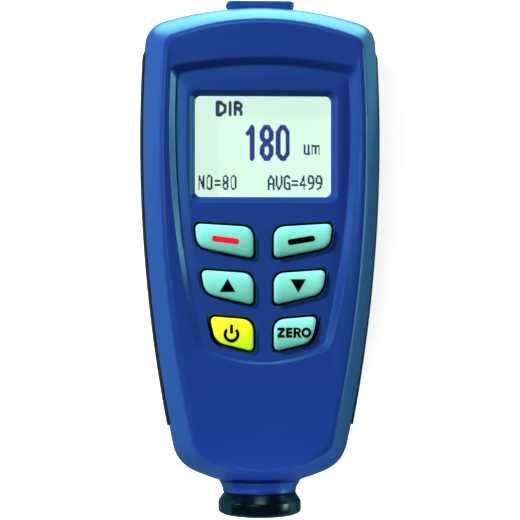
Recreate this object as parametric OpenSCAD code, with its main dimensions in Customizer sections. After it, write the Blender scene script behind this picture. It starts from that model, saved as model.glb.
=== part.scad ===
// Coating thickness gauge, lying on its back, display face up, sizes in millimetres

/* [Case] */
// Length of the head of the case above the battery bay
head_length = 27; // [26.6:0.1:30]
// Width of the case across its top corners
case_top_width = 51; // [50:0.1:56]
// Width of the case across its low corners
case_low_width = 37.4; // [36:0.1:42]
// Outward bow of each long side
side_bow = 3.5; // [2.5:0.1:4]
// Height of the case from back to highest ridge
case_thickness = 27; // [26.6:0.1:29]
// Rise of the arched top end
top_arch = 4.4; // [3.5:0.1:5]
// Fall of the arched low end
low_arch = 5.3; // [4.5:0.1:6]
// Rounding of the top corners
top_corner = 3.8; // [3:0.1:5]
// Rounding of the low corners
low_corner = 4.1; // [3.5:0.1:6.5]
// Thickness of the moulded walls
wall = 1.8; // [1.6:0.1:2]
// Gap at the parting line
parting_gap = 0.1; // [0.05:0.01:0.3]
// Run of the sloping front edge, from outline to ridge
edge_run = 4.4; // [4:0.1:5]
// Rise of the sloping front edge
edge_rise = 8; // [6:0.1:8.4]
// Fall of the face from its highest point to the low end
face_drop = 2; // [1:0.1:2.2]
// Distance of the highest point of the face from the top end
crown_from_top = 35.7; // [32:0.1:40]
// Run of the rounded back edge
back_run = 5; // [4:0.1:5.4]
// Rise of the rounded back edge
back_rise = 7; // [5:0.1:8]
// Rise of the back toward the probe
heel_rise = 4; // [2:0.1:4.5]
// Length of the raised heel
heel_length = 23; // [20:0.5:25]

/* [Sunk face] */
// Depth of the sunk face below the highest ridge
recess_depth = 1.2; // [1.15:0.05:1.5]
// Width of the sunk face across its top corners
recess_top_width = 37.8; // [37:0.1:38.6]
// Width of the sunk face across its low corners
recess_low_width = 26.6; // [26:0.1:28]
// Length of the sunk face
recess_length = 64.9; // [64.5:0.1:66]
// Distance of the sunk face from the top end
recess_from_top = 13.7; // [13:0.1:14.5]
// Outward bow of the sides of the sunk face
recess_bow = 2.3; // [1.8:0.1:2.6]
// Arch of the top of the sunk face
recess_top_arch = 2; // [1.5:0.1:2.5]
// Arch of the low end of the sunk face
recess_low_arch = 3.5; // [3:0.1:4]
// Run of the sloping wall round the sunk face
recess_wall_run = 1.5; // [1.2:0.1:2]

/* [Display] */
// Width of the visible display
window_width = 29.9; // [28:0.1:31]
// Height of the visible display
window_height = 22.1; // [21:0.1:23]
// Distance from the top of the sunk face to the display centre
window_from_recess = 17.75; // [17.2:0.05:18.4]
// Run of the bevel round the display opening
window_bevel = 1.15; // [0.6:0.05:1.4]
// Border of the lens behind the opening
lens_border = 2.2; // [1.8:0.1:2.4]
// Thickness of the lens
lens_thickness = 1.5; // [1:0.1:1.6]
// Thickness of the display glass
glass_thickness = 1.8; // [1.4:0.1:2]
// Thickness of the backlight
backlight_thickness = 3.2; // [2.4:0.1:3.4]
// Wall of the display frame
frame_wall = 1.2; // [1:0.1:1.4]

/* [Keys] */
// Distance between key rows
key_pitch = 10.15; // [9.9:0.05:10.3]
// Height of a key at its inner side
key_height = 6.85; // [6.4:0.05:7]
// Distance from the top of the sunk face to the top of the first row
key_from_recess = 35.4; // [35.2:0.05:36]
// Gap between the two key columns
key_column_gap = 4.6; // [4.2:0.1:5.4]
// Margin between the outer side of a key and the edge of the sunk face
key_margin = 3.05; // [2.9:0.05:3.4]
// Rise of the key top edge toward the outer side
key_top_tilt = 0.77; // [0.5:0.01:0.9]
// Rise of the key low edge toward the outer side
key_low_tilt = 2.6; // [2:0.05:2.8]
// Height of a key above the sunk face
key_proud = 1.2; // [1:0.1:1.3]
// Clearance round a key
key_gap = 0.45; // [0.25:0.01:0.55]
// Travel of a key
key_travel = 0.8; // [0.5:0.05:0.9]

/* [Probe] */
// Diameter of the black collar
collar_diameter = 18.6; // [18:0.1:20]
// Diameter of the collar where it meets the neck
collar_neck_diameter = 16; // [15.6:0.1:16.4]
// Length of the collar
collar_length = 4.8; // [4.4:0.1:5]
// Length of the straight part of the collar
collar_straight = 2.8; // [2:0.1:3]
// Height of the domed end of the collar
collar_dome = 0.7; // [0.4:0.05:0.9]
// Length of the neck between collar and case outline
neck_length = 1.4; // [1.2:0.1:2]
// Width of the neck at the collar
neck_diameter = 16.4; // [16:0.1:17]
// Height of the neck, back to front
neck_height = 15; // [14.8:0.1:16]
// Diameter of the metal sleeve
sleeve_diameter = 12.8; // [12.4:0.1:13]
// Length of the metal sleeve
sleeve_length = 27.5; // [27.2:0.1:28]
// Wall of the metal sleeve
sleeve_wall = 1.1; // [0.9:0.05:1.2]
// Diameter of the measuring tip
tip_diameter = 3.8; // [3.2:0.1:4.2]
// Length by which the tip stands out of the collar
tip_proud = 0.5; // [0.3:0.05:0.9]
// Travel of the measuring tip
tip_travel = 2; // [1:0.1:2.5]
// Running clearance of the measuring tip
tip_clearance = 0.08; // [0.04:0.01:0.1]
// Wire of the probe spring
probe_wire = 0.6; // [0.5:0.05:0.7]

/* [Grips] */
// Height by which a grip stands out of the case side
grip_proud = 0.4; // [0.3:0.05:0.9]
// Depth by which a grip is let into the case side
grip_depth = 0.8; // [0.6:0.05:0.9]
// Height of a grip, back to front
grip_height = 12.5; // [10:0.1:13]
// Height of the low edge of a grip above the back
grip_base = 5; // [4.5:0.1:6]
// Distance of the upper end of a grip from the top end
grip_from_top = 7.4; // [7:0.1:12]
// Distance of the low end of a grip from the low end of the case
grip_from_low = 12.1; // [12:0.1:15]
// Clearance between a grip and its pocket
grip_clearance = 0.06; // [0.03:0.01:0.1]

/* [Battery bay] */
// Diameter of a cell
cell_diameter = 10.5; // [10:0.1:10.7]
// Length of a cell over its cap
cell_length = 44.5; // [44:0.1:44.8]
// Clearance round a cell
cell_clearance = 0.25; // [0.15:0.01:0.4]
// Length of a pressed contact spring
contact_spring_length = 5; // [4.5:0.1:5.4]
// Thickness of a contact plate
contact_thickness = 0.4; // [0.3:0.05:0.5]
// Wall of the battery bay
bay_wall = 1.2; // [1:0.1:1.3]
// Thickness of the battery door
door_thickness = 1.6; // [1.4:0.1:1.7]
// Clearance round the battery door
door_clearance = 0.25; // [0.15:0.01:0.35]
// Margin of the door round the bay
door_margin = 2.6; // [2.2:0.1:2.9]
// Depth by which the door lies below the back face
door_sink = 0.15; // [0.1:0.05:0.3]
// Length of a hinge pin of the door
door_pin_length = 1.3; // [1:0.1:1.5]

/* [Board] */
// Thickness of the circuit board
board_thickness = 1.6; // [1.4:0.1:1.6]
// Distance of the board edge from the case outline
board_inset = 5.3; // [5:0.1:5.6]
// Diameter of a case screw
case_screw_diameter = 2.3; // [2:0.1:2.6]
// Distance of a case screw from the case side
case_screw_inset = 7.3; // [7:0.1:7.6]
// Diameter of a board screw
board_screw_diameter = 2; // [1.8:0.1:2.2]

/* [Data port] */
// Width of the port cover
cover_width = 15.1; // [14.5:0.1:16]
// Height of the port cover, back to front
cover_height = 8.4; // [8:0.1:9]
// Thickness of the port cover
cover_thickness = 2.2; // [2:0.1:2.4]
// Depth by which the cover is let into the top end
cover_seat = 0.6; // [0.5:0.05:0.8]
// Width of the data socket
socket_width = 7.7; // [7.5:0.1:7.9]
// Height of the data socket
socket_height = 3.9; // [3.7:0.1:4]
// Length of the data socket
socket_length = 9; // [8.6:0.1:9.2]
// Travel of the port cover when it is pulled out
cover_travel = 8; // [6:0.5:12]

/* [Hidden] */
$fn = 48;

// Lengthwise stations, measured from the face of the collar
seat = 0.05;
low_y = collar_length + neck_length;
sleeve_low_y = 1.5;
sleeve_top_y = sleeve_low_y + sleeve_length;
lead_room = 6.6;
bay_length = cell_length + contact_spring_length + 2 * contact_thickness + 4 * seat;
bay_low_y = sleeve_top_y + lead_room;
bay_top_y = bay_low_y + bay_length;
bay_y = (bay_low_y + bay_top_y) / 2;
top_y = bay_top_y + head_length;
crown_y = top_y - crown_from_top;
recess_top_y = top_y - recess_from_top;
recess_low_y = recess_top_y - recess_length;
window_y = recess_top_y - window_from_recess;
key_top_y = recess_top_y - key_from_recess;
cover_low_y = top_y - cover_seat;
cover_top_y = cover_low_y + cover_thickness;
heel_y = low_y + heel_length;
middle_y = (cover_top_y - tip_proud - collar_dome) / 2;

// Heights above the back
parting = case_thickness / 2 - 0.5;
floor_z = case_thickness - recess_depth;
ceiling_z = floor_z - wall;
board_z = parting + socket_height / 2;
board_top = board_z + board_thickness;
cell_z = door_sink + door_thickness + 0.45 + cell_diameter / 2;
bay_top = cell_z + cell_diameter / 2 + cell_clearance;

// Steps along the pieces of a ring
low_steps = 5;
side_steps = 11;
top_steps = 7;
corner_steps = 5;

function mix(a, b, t) = a + (b - a) * t;
function unit(v) = v / norm(v);
function bend(p, q, r, t) = (1 - t) ^ 2 * p + 2 * t * (1 - t) * q + t ^ 2 * r;
function meet(p, u, q, v) = p + u * cross(q - p, v) / cross(u, v);

// A shield: [top half, low half, low y, top y, bow, low arch, top arch, low corner, top corner]
function low_edge(r, s) = [r[1] * s, r[2] + r[5] * s ^ 2];
function low_slope(r, s) = [r[1], 2 * r[5] * s];
function side_edge(r, s) =
    [mix(r[1], r[0], s) + 4 * r[4] * s * (1 - s), mix(r[2] + r[5], r[3] - r[6], s)];
function side_slope(r, s) =
    [r[0] - r[1] + 4 * r[4] * (1 - 2 * s), r[3] - r[6] - r[2] - r[5]];
function top_edge(r, s) = [r[0] * (1 - s), r[3] - r[6] * (1 - s) ^ 2];
function top_slope(r, s) = [-r[0], 2 * r[6] * (1 - s)];
function side_length(r) = r[3] - r[6] - r[2] - r[5];
function half_shield(r) =
    let (a = 1 - r[7] / r[1], b = r[7] / side_length(r), c = 1 - r[8] / side_length(r), d = r[8] / r[0])
    let (low_turn = meet(low_edge(r, a), low_slope(r, a), side_edge(r, b), side_slope(r, b)))
    let (top_turn = meet(side_edge(r, c), side_slope(r, c), top_edge(r, d), top_slope(r, d)))
    concat(
        [for (i = [0:low_steps - 1]) low_edge(r, a * i / low_steps)],
        [for (i = [0:corner_steps - 1]) bend(low_edge(r, a), low_turn, side_edge(r, b), i / corner_steps)],
        [for (i = [0:side_steps - 1]) side_edge(r, mix(b, c, i / side_steps))],
        [for (i = [0:corner_steps - 1]) bend(side_edge(r, c), top_turn, top_edge(r, d), i / corner_steps)],
        [for (i = [0:top_steps]) top_edge(r, mix(d, 1, i / top_steps))]);
function shield(r) =
    let (h = half_shield(r), n = len(h))
    concat(h, [for (i = [n - 2:-1:1]) [-h[i][0], h[i][1]]]);
function flat(ring, z) = [for (p = ring) [p[0], p[1], z]];
function blend(a, b, t) = [for (i = [0:len(a) - 1]) mix(a[i], b[i], t)];

// The case outline, drawn in by a distance
function case_shield(d, low = low_y) =
    [case_top_width / 2 - d, case_low_width / 2 - d, low + d, top_y - d, side_bow, low_arch, top_arch,
     max(low_corner - 0.6 * d, 2), max(top_corner - 0.45 * d, 1.4)];
function case_half(y) =
    let (r = case_shield(0), s = (y - low_y - low_arch) / side_length(r))
    side_edge(r, s)[0];

// The edge of the sunk face, let out by a distance
function recess_shield(d) =
    [recess_top_width / 2 + d, recess_low_width / 2 + d, recess_low_y - 0.4 * d, recess_top_y + 1.15 * d,
     recess_bow, recess_low_arch, recess_top_arch, 2, 1.5];
function recess_half(y) =
    let (r = recess_shield(0), s = (y - recess_low_y - recess_low_arch) / side_length(r))
    side_edge(r, s)[0];

// Height of the front ridge and of the back at a station
function front_z(y) = case_thickness - face_drop * ((y - crown_y) / (crown_y - low_y)) ^ 2;
function back_z(y) = heel_rise * (max(0, heel_y - y) / heel_length) ^ 2;
function crowned(ring, down) = [for (p = ring) [p[0], p[1], front_z(p[1]) - down]];
function heeled(ring, z) = [for (p = ring) [p[0], p[1], z + back_z(p[1]) * (1 - z / parting)]];

// A skin through rings of points, with its ends in one face or, for a strip, in a row of faces
function end_faces(n, strip) =
    strip ? [for (i = [0:n / 2 - 2]) [i, i + 1, n - 2 - i, n - 1 - i]] : [[for (i = [0:n - 1]) i]];
function turned(ring) = [for (i = [len(ring) - 1:-1:0]) ring[i]];
module loft(rings, strip = false) {
    n = len(rings[0]);
    m = len(rings);
    last = (m - 1) * n;
    polyhedron(
        points = [for (r = rings) each r],
        faces = concat(
            end_faces(n, strip),
            [for (k = [0:m - 2], i = [0:n - 1])
                let (a = k * n + i, b = a + n, c = (k + 1) * n + (i + 1) % n, d = c - n)
                each [[a, b, c], [a, c, d]]],
            [for (f = end_faces(n, strip)) [for (i = turned(f)) last + i]]),
        convexity = 8);
}

// Bodies of the two shells
draft = 0.25;
ridge_dip = 0.3;
back_step = 22.5;
ridge_shield = shield(case_shield(draft + edge_run));

// Section of the front edge: [distance in from the outline, fall from the ridge]
function edge_point(run_share, rise_share) = [draft + run_share * edge_run, rise_share * edge_rise];
edge_foot = edge_point(0, 1);
edge_swell = edge_point(0.175, 0.6);
edge_brow = edge_point(0.7, 0.1);
edge_turn = edge_point(0.805, 0);
edge_ridge = edge_point(1, 0);
edge_path = concat(
    [for (t = [0, 0.5]) bend(edge_foot, edge_swell, edge_brow, t)],
    [for (t = [0:0.25:1]) bend(edge_brow, edge_turn, edge_ridge, t)]);
brim_shield = shield(recess_shield(recess_wall_run));

module front_body() {
    loft(concat(
        [flat(shield(case_shield(0)), parting + parting_gap)],
        [for (q = edge_path) crowned(shield(case_shield(q[0])), q[1])],
        [for (t = [1, 2, 3]) crowned(blend(ridge_shield, brim_shield, t / 4), ridge_dip * t / 4)],
        [crowned(brim_shield, ridge_dip)],
        [flat(shield(recess_shield(0)), floor_z)]));
}

module front_cavity() {
    loft([
        flat(shield(case_shield(wall)), parting - 1),
        flat(shield(case_shield(wall + 0.3)), parting + 3.5),
        crowned(shield(case_shield(wall + 1.6)), 4.8),
        crowned(shield(case_shield(wall + 4)), 2.8),
        flat(shield(recess_shield(0.8)), ceiling_z)]);
}

module rear_body() {
    loft(concat(
        [for (a = [90:-back_step:0])
            heeled(shield(case_shield(draft + back_run * (1 - cos(a)))), back_rise * (1 - sin(a)))],
        [flat(shield(case_shield(0)), parting)]));
}

module rear_cavity() {
    loft([
        flat(shield(case_shield(wall + 4.6, heel_y - 4)), wall),
        heeled(shield(case_shield(wall + 1.8)), wall + 1.2),
        heeled(shield(case_shield(wall + 0.4)), 6.4),
        flat(shield(case_shield(wall)), parting + 1)]);
}

// Turns children so that their height runs along the case
module along(y, z) translate([0, y, z]) rotate([-90, 0, 0]) children();
module both() {
    children();
    mirror([1, 0, 0]) children();
}
module slab(width, height, z0, z1, y = 0, r = 0) {
    translate([0, y, z0])
        linear_extrude(z1 - z0)
            if (r > 0)
                hull()
                    for (x = [-1, 1], v = [-1, 1])
                        translate([x * (width / 2 - r), v * (height / 2 - r)]) circle(r, $fn = 24);
            else
                square([width, height], center = true);
}

// Neck and cradle that hold the probe sleeve
sleeve_radius = sleeve_diameter / 2;
sleeve_clearance = 0.06;
flange_radius = sleeve_radius + 1.4;
flange_length = 2;
flange_y = low_y + 8.8;
cradle_low_y = flange_y - 2.2;
cradle_top_y = flange_y + flange_length + 2.2;
cradle_width = 2 * flange_radius + 3.2;
neck_radius = neck_diameter / 2;
neck_flare = 1.6;

neck_steps = 48;
flare_run = 3.4;
function oval(half_width, z) =
    [for (i = [0:neck_steps - 1])
        let (a = 360 * i / neck_steps)
        [half_width * cos(a), neck_height / 2 * sin(a), z]];
module neck() {
    along(collar_length + seat, parting)
        loft(concat(
            [for (t = [0:0.25:1])
                let (q = bend([neck_radius, 0], [neck_radius, flare_run * 0.4],
                    [neck_radius + neck_flare, flare_run], t))
                oval(q[0], q[1])],
            [oval(neck_radius + neck_flare, neck_length + edge_run)]));
}
module cradle(z0, z1) {
    translate([-cradle_width / 2, cradle_low_y, z0])
        cube([cradle_width, cradle_top_y - cradle_low_y, z1 - z0]);
}
module sleeve_bore() {
    along(0, parting) cylinder(r = sleeve_radius + sleeve_clearance, h = sleeve_top_y + 1);
    along(flange_y - seat, parting)
        cylinder(r = flange_radius + sleeve_clearance, h = flange_length + 2 * seat);
}
module post(p, r, z0, z1, sides = 18) {
    translate([p[0], p[1], z0]) cylinder(r = r, h = z1 - z0, $fn = sides);
}

// Screw places
case_screw_spots = [for (y = [top_y - 15, low_y + 20.8]) [case_half(y) - case_screw_inset, y]];
case_boss_radius = case_screw_diameter / 2 + 1.7;
boss_gap = 0.35;
case_head_radius = 2.3;
case_head_height = 1.6;
case_head_z = 3.6;
case_screw_top = parting + 6.5;
skin = 1;
board_spot_y = key_top_y - key_pitch + 3.1;
board_screw_spots = [[case_half(board_spot_y) - 7.3, board_spot_y], [10, top_y - 8.2]];
board_boss_radius = board_screw_diameter / 2 + 1.1;
screw_clearance = 0.06;
board_head_radius = 1.9;
board_head_height = 1.1;
board_screw_top = board_top + 4;

// Keys
key_corner = [1.4, 2.4, 1.5, 2.5];
key_inner_x = key_column_gap / 2;
function key_box(row) =
    let (t = key_top_y - row * key_pitch, b = t - key_height)
    [[key_inner_x, b], [recess_half(b + key_low_tilt) - key_margin, b + key_low_tilt],
     [recess_half(t + key_top_tilt) - key_margin, t + key_top_tilt], [key_inner_x, t]];
function drawn_in(box, d) =
    [for (i = [0:3])
        let (a = box[(i + 3) % 4], b = box[i], c = box[(i + 1) % 4], u = unit(b - a), v = unit(c - b))
        meet(a + d * [-u[1], u[0]], u, b + d * [-v[1], v[0]], v)];
function rounded(box, grow) =
    [for (i = [0:3])
        let (b = box[i], r = max(key_corner[i] + grow, 0.3))
        let (p = b + r * unit(box[(i + 3) % 4] - b), q = b + r * unit(box[(i + 1) % 4] - b))
        for (t = [0:0.25:1]) bend(p, b, q, t)];
function key_ring(row, d) = rounded(drawn_in(key_box(row), d), -0.6 * d);
function key_middle(row) = let (b = key_box(row)) (b[0] + b[1] + b[2] + b[3]) / 4;

key_top_z = floor_z + key_proud;
flange_top_z = ceiling_z - 0.3;
flange_low_z = flange_top_z - 0.9;
key_stem_z = flange_low_z - 0.7;
key_stem_radius = 2;
flange_grow = 0.8;
key_lead = 0.25;

module key(row) {
    loft([
        flat(key_ring(row, 0), flange_low_z + 0.2),
        flat(key_ring(row, 0), key_top_z - 0.75),
        flat(key_ring(row, 0.12), key_top_z - 0.4),
        flat(key_ring(row, 0.4), key_top_z - 0.14),
        flat(key_ring(row, 0.9), key_top_z)]);
    translate([0, 0, flange_low_z])
        linear_extrude(flange_top_z - flange_low_z) polygon(key_ring(row, -flange_grow));
    translate([key_middle(row)[0], key_middle(row)[1], key_stem_z])
        cylinder(r = key_stem_radius, h = 1);
}
module key_hole(row) {
    translate([0, 0, ceiling_z - 1]) linear_extrude(wall + 2) polygon(key_ring(row, -key_gap));
    hull() {
        translate([0, 0, floor_z - key_lead]) linear_extrude(0.01) polygon(key_ring(row, -key_gap));
        translate([0, 0, floor_z + 0.01]) linear_extrude(0.01) polygon(key_ring(row, -key_gap - key_lead));
    }
}

// Display stack
lens_width = window_width + 2 * lens_border;
lens_height = window_height + 2 * lens_border;
lens_top = ceiling_z - seat;
lens_low = lens_top - lens_thickness;
backlight_low = board_top + seat;
backlight_top = backlight_low + backlight_thickness;
glass_low = backlight_top + seat;
glass_top = glass_low + glass_thickness;
frame_top = lens_low - 0.1;
glass_fit = 0.1;
strip_depth = 2;

module front_housing() {
    color([0.12, 0.25, 0.55])
        difference() {
            union() {
                difference() {
                    union() {
                        front_body();
                        intersection() {
                            neck();
                            slab(60, 60, parting + parting_gap, case_thickness);
                        }
                    }
                    front_cavity();
                }
                cradle(parting + parting_gap, front_z(cradle_low_y) - skin);
                both() {
                    for (p = case_screw_spots)
                        post(p, case_boss_radius, parting + parting_gap, front_z(p[1]) - 1.2 * wall);
                    for (p = board_screw_spots)
                        post(p, board_boss_radius, board_top + seat, floor_z - skin);
                }
            }
            sleeve_bore();
            hull() {
                slab(window_width, window_height, ceiling_z + 0.6, ceiling_z + 0.61, window_y, 1.3);
                slab(window_width + 2 * window_bevel, window_height + 2 * window_bevel, floor_z + 0.01,
                    floor_z + 0.02, window_y, 1.9);
            }
            slab(window_width, window_height, ceiling_z - 1, floor_z, window_y, 1.3);
            both() for (row = [0:2]) key_hole(row);
            both() {
                for (p = case_screw_spots)
                    post(p, case_screw_diameter / 2 + screw_clearance, 0, case_screw_top + 0.5);
                for (p = board_screw_spots)
                    post(p, board_screw_diameter / 2 + screw_clearance, 0, board_screw_top + 0.5);
            }
            port_opening();
            both() grip_pocket();
        }
}

// Battery bay
cell_gap = 0.3;
cell_x = (cell_diameter + cell_gap) / 2;
bay_width = 2 * cell_diameter + cell_gap + 2 * cell_clearance;
door_width = bay_width + 2 * door_margin;
door_length = bay_length + 2 * door_margin;
door_low_y = bay_y - door_length / 2;
hinge_radius = door_thickness / 2;
hinge_y = door_low_y + hinge_radius;
hinge_z = door_sink + hinge_radius;
frame_margin = 2.4;
frame_z = door_sink + door_thickness + 1.3;
pin_clearance = 0.08;
latch_width = 9;
latch_root = 1.6;
latch_thickness = 0.9;
latch_height = 1.2;
latch_bite = 0.7;
door_top_y = bay_y + door_length / 2;
door_corner = 1;

module rear_housing() {
    color([0.12, 0.25, 0.55])
        difference() {
            union() {
                difference() {
                    union() {
                        rear_body();
                        intersection() {
                            neck();
                            slab(60, 60, 0, parting);
                        }
                    }
                    rear_cavity();
                }
                cradle(back_z(cradle_low_y) + skin, parting);
                both() for (p = case_screw_spots) post(p, case_boss_radius + 0.9, skin, parting);
                slab(door_width + 2 * frame_margin, door_length + 2 * frame_margin, skin / 2, frame_z,
                    bay_y, 3);
                slab(bay_width + 2 * bay_wall, bay_length + 2 * bay_wall, wall, bay_top + bay_wall, bay_y, 1);
            }
            sleeve_bore();
            slab(bay_width, bay_length, -1, bay_top, bay_y, 0.4);
            slab(door_width + 2 * door_clearance, door_length + 2 * door_clearance, -1,
                door_sink + door_thickness + 0.1, bay_y, door_corner + door_clearance);
            translate([0, hinge_y, hinge_z])
                rotate([0, 90, 0])
                    cylinder(r = hinge_radius + pin_clearance,
                        h = door_width + 2 * door_pin_length + 0.4, center = true);
            hull() {
                slab(latch_width + 1, 3, -1, 0.1, door_top_y, 1);
                slab(latch_width + 1, 1, -1, hinge_z, door_top_y, 0.4);
            }
            slab(latch_width + 1, latch_root + latch_bite + 1.6, hinge_z,
                door_sink + door_thickness + latch_height + 0.5,
                door_top_y - (latch_root - latch_bite) / 2, 0.4);
            both() for (p = case_screw_spots) {
                post(p, case_screw_diameter / 2 + 0.25, 0, parting + 1);
                post(p, case_head_radius + 0.25, -1, case_head_z, 28);
            }
            port_opening();
            both() grip_pocket();
        }
}

// A rubber strip let into the side of both shells
grip_low_y = low_y + grip_from_low;
grip_top_y = top_y - grip_from_top;
grip_top_z = grip_base + grip_height;
grip_steps = 20;
grip_end = 1.6;
function grip_x(y) = case_half(y);
function grip_ring(proud, short, depth) =
    let (a = grip_low_y + short, b = grip_top_y - short)
    concat(
        [for (i = [0:grip_steps]) let (y = mix(a, b, i / grip_steps)) [grip_x(y) - depth, y]],
        [for (i = [grip_steps:-1:0])
            let (y = mix(a + grip_end, b - grip_end, i / grip_steps)) [grip_x(y) + proud, y]]);

module grip() {
    loft([
        flat(turned(grip_ring(0.05, 0.6, grip_depth)), grip_base),
        flat(turned(grip_ring(0.45 * grip_proud, 0.25, grip_depth)), grip_base + 0.5),
        flat(turned(grip_ring(grip_proud, 0, grip_depth)), grip_base + 2),
        flat(turned(grip_ring(grip_proud, 0, grip_depth)), grip_top_z - 2),
        flat(turned(grip_ring(0.45 * grip_proud, 0.25, grip_depth)), grip_top_z - 0.5),
        flat(turned(grip_ring(0.05, 0.6, grip_depth)), grip_top_z)], true);
}
module grip_pocket() {
    translate([0, 0, grip_base - grip_clearance])
        linear_extrude(grip_height + 2 * grip_clearance)
            polygon(grip_ring(3, -grip_clearance, grip_depth + grip_clearance));
}
module left_side_grip() {
    color([0.05, 0.05, 0.05]) mirror([1, 0, 0]) grip();
}
module right_side_grip() {
    color([0.05, 0.05, 0.05]) grip();
}

// Port in the top end, half in each shell
port_clearance = 0.12;
plug_width = socket_width + 2.2;
plug_height = socket_height + 1.6;
plug_length = wall - cover_seat + 0.2;
module port_opening() {
    along(top_y - wall - 1.4, parting) slab(plug_width, plug_height, 0, 6, 0, 1.2);
    along(cover_low_y, parting)
        slab(cover_width + 2 * port_clearance, cover_height + 2 * port_clearance, 0, 4, 0, 1.5);
}
module data_port_cover() {
    color([0.1, 0.2, 0.4]) {
        along(cover_low_y + seat, parting)
            slab(cover_width, cover_height, 0, cover_thickness - seat, 0, 1.5);
        along(cover_low_y - plug_length, parting)
            slab(plug_width - 2 * port_clearance, plug_height - 2 * port_clearance, 0,
                plug_length + 0.5, 0, 1.1);
    }
}
socket_top_y = cover_low_y - plug_length - 0.15;
socket_wall = 0.4;
module data_socket() {
    color([0.75, 0.75, 0.77])
        translate([0, socket_top_y - socket_length, board_z - seat - socket_height]) {
            difference() {
                translate([-socket_width / 2, 0, 0]) cube([socket_width, socket_length, socket_height]);
                translate([-socket_width / 2 + socket_wall, 1, socket_wall])
                    cube([socket_width - 2 * socket_wall, socket_length, socket_height - 2 * socket_wall]);
            }
            translate([-socket_width / 2 + 1.4, 0.5, socket_height / 2 - 0.4])
                cube([socket_width - 2.8, socket_length - 1.5, 0.9]);
        }
}

// Display pieces
module display_window() {
    color([0.85, 0.9, 0.9, 0.4])
        slab(lens_width, lens_height, lens_low, lens_top, window_y, 1.5);
}
module lcd_panel() {
    color([0.85, 0.95, 0.9]) slab(lens_width - 0.4, lens_height - 0.4, glass_low, glass_top, window_y);
}
module backlight_panel() {
    color([0.9, 0.95, 0.85])
        slab(lens_width - 0.4, lens_height - 0.4 - 2 * strip_depth - 0.6, backlight_low, backlight_top,
            window_y - strip_depth / 2);
}
module lcd_connector_strip() {
    color([0.3, 0.3, 0.32])
        slab(lens_width - 4, strip_depth, backlight_low, backlight_top,
            window_y + lens_height / 2 - 0.3 - strip_depth / 2);
}
module lcd_frame() {
    color([0.9, 0.9, 0.88])
        difference() {
            slab(lens_width + 2 * frame_wall, lens_height + 2 * frame_wall, backlight_low, frame_top,
                window_y);
            slab(lens_width - 0.4 + 2 * glass_fit, lens_height - 0.4 + 2 * glass_fit, backlight_low - 1,
                glass_top + seat, window_y);
            slab(window_width + 0.8, window_height + 0.8, backlight_low, frame_top + 1, window_y);
            both() for (p = case_screw_spots)
                post(p, case_boss_radius + boss_gap, backlight_low - 1, frame_top + 1);
        }
}

// Board and its parts
lead_radius = 0.9;
lead_turn = 2;
lead_y = sleeve_top_y + 2.2;
lead_z = board_top + 1.6;
board_low_y = lead_y + lead_turn + lead_radius + 0.3;
module board_outline() {
    difference() {
        intersection() {
            polygon(shield(case_shield(board_inset)));
            translate([-40, board_low_y]) square([80, top_y - 4.8 - board_low_y]);
        }
        for (p = case_screw_spots, s = [-1, 1])
            translate([s * p[0], p[1]]) circle(case_boss_radius + boss_gap);
        for (p = board_screw_spots, s = [-1, 1])
            translate([s * p[0], p[1]]) circle(d = board_screw_diameter + 0.3);
    }
}
module main_board() {
    color([0.05, 0.35, 0.18]) translate([0, 0, board_z]) linear_extrude(board_thickness) board_outline();
}
buzzer_diameter = 11;
buzzer_height = 4;
buzzer_vent = 2.4;
buzzer_x = 9;
chip_width = 9;
chip_height = 1.4;
small_chip_width = 3;
small_chip_length = 5;
crystal_length = 2;
chip_gap = 1.2;
chip_y = bay_top_y + bay_wall + buzzer_diameter / 2 + 0.5;
chip_x = buzzer_x - buzzer_diameter / 2 - 0.5;
module chip(x, y, width, length) {
    translate([x, y, board_z - seat - chip_height]) cube([width, length, chip_height]);
}
module board_chips() {
    color([0.08, 0.08, 0.09]) {
        chip(chip_x, chip_y - chip_width / 2, chip_width, chip_width);
        chip(chip_x + chip_width + chip_gap, chip_y - small_chip_length / 2, small_chip_width,
            small_chip_length);
        chip(-small_chip_width / 2, chip_y + crystal_length, small_chip_width, crystal_length);
    }
}
module buzzer() {
    color([0.1, 0.1, 0.1])
        translate([-buzzer_x, chip_y, board_z - seat - buzzer_height])
            difference() {
                cylinder(d = buzzer_diameter, h = buzzer_height);
                translate([0, 0, -1]) cylinder(d = buzzer_vent, h = buzzer_height / 2);
            }
}
module board_screws() {
    color([0.7, 0.7, 0.72])
        both() for (p = board_screw_spots)
            translate([p[0], p[1], board_z - seat - board_head_height]) {
                cylinder(r = board_head_radius, h = board_head_height);
                cylinder(d = board_screw_diameter, h = board_screw_top - board_z + seat + board_head_height);
            }
}
module case_screws() {
    color([0.7, 0.7, 0.72])
        both() for (p = case_screw_spots)
            translate([p[0], p[1], case_head_z - case_head_height - seat]) {
                cylinder(r = case_head_radius, h = case_head_height);
                cylinder(d = case_screw_diameter, h = case_screw_top - case_head_z);
            }
}
mat_thickness = 0.8;
mat_gap = 0.6;
mat_notch = 12;
dome_radius = 3;
dome_top = key_stem_z - seat;
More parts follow.
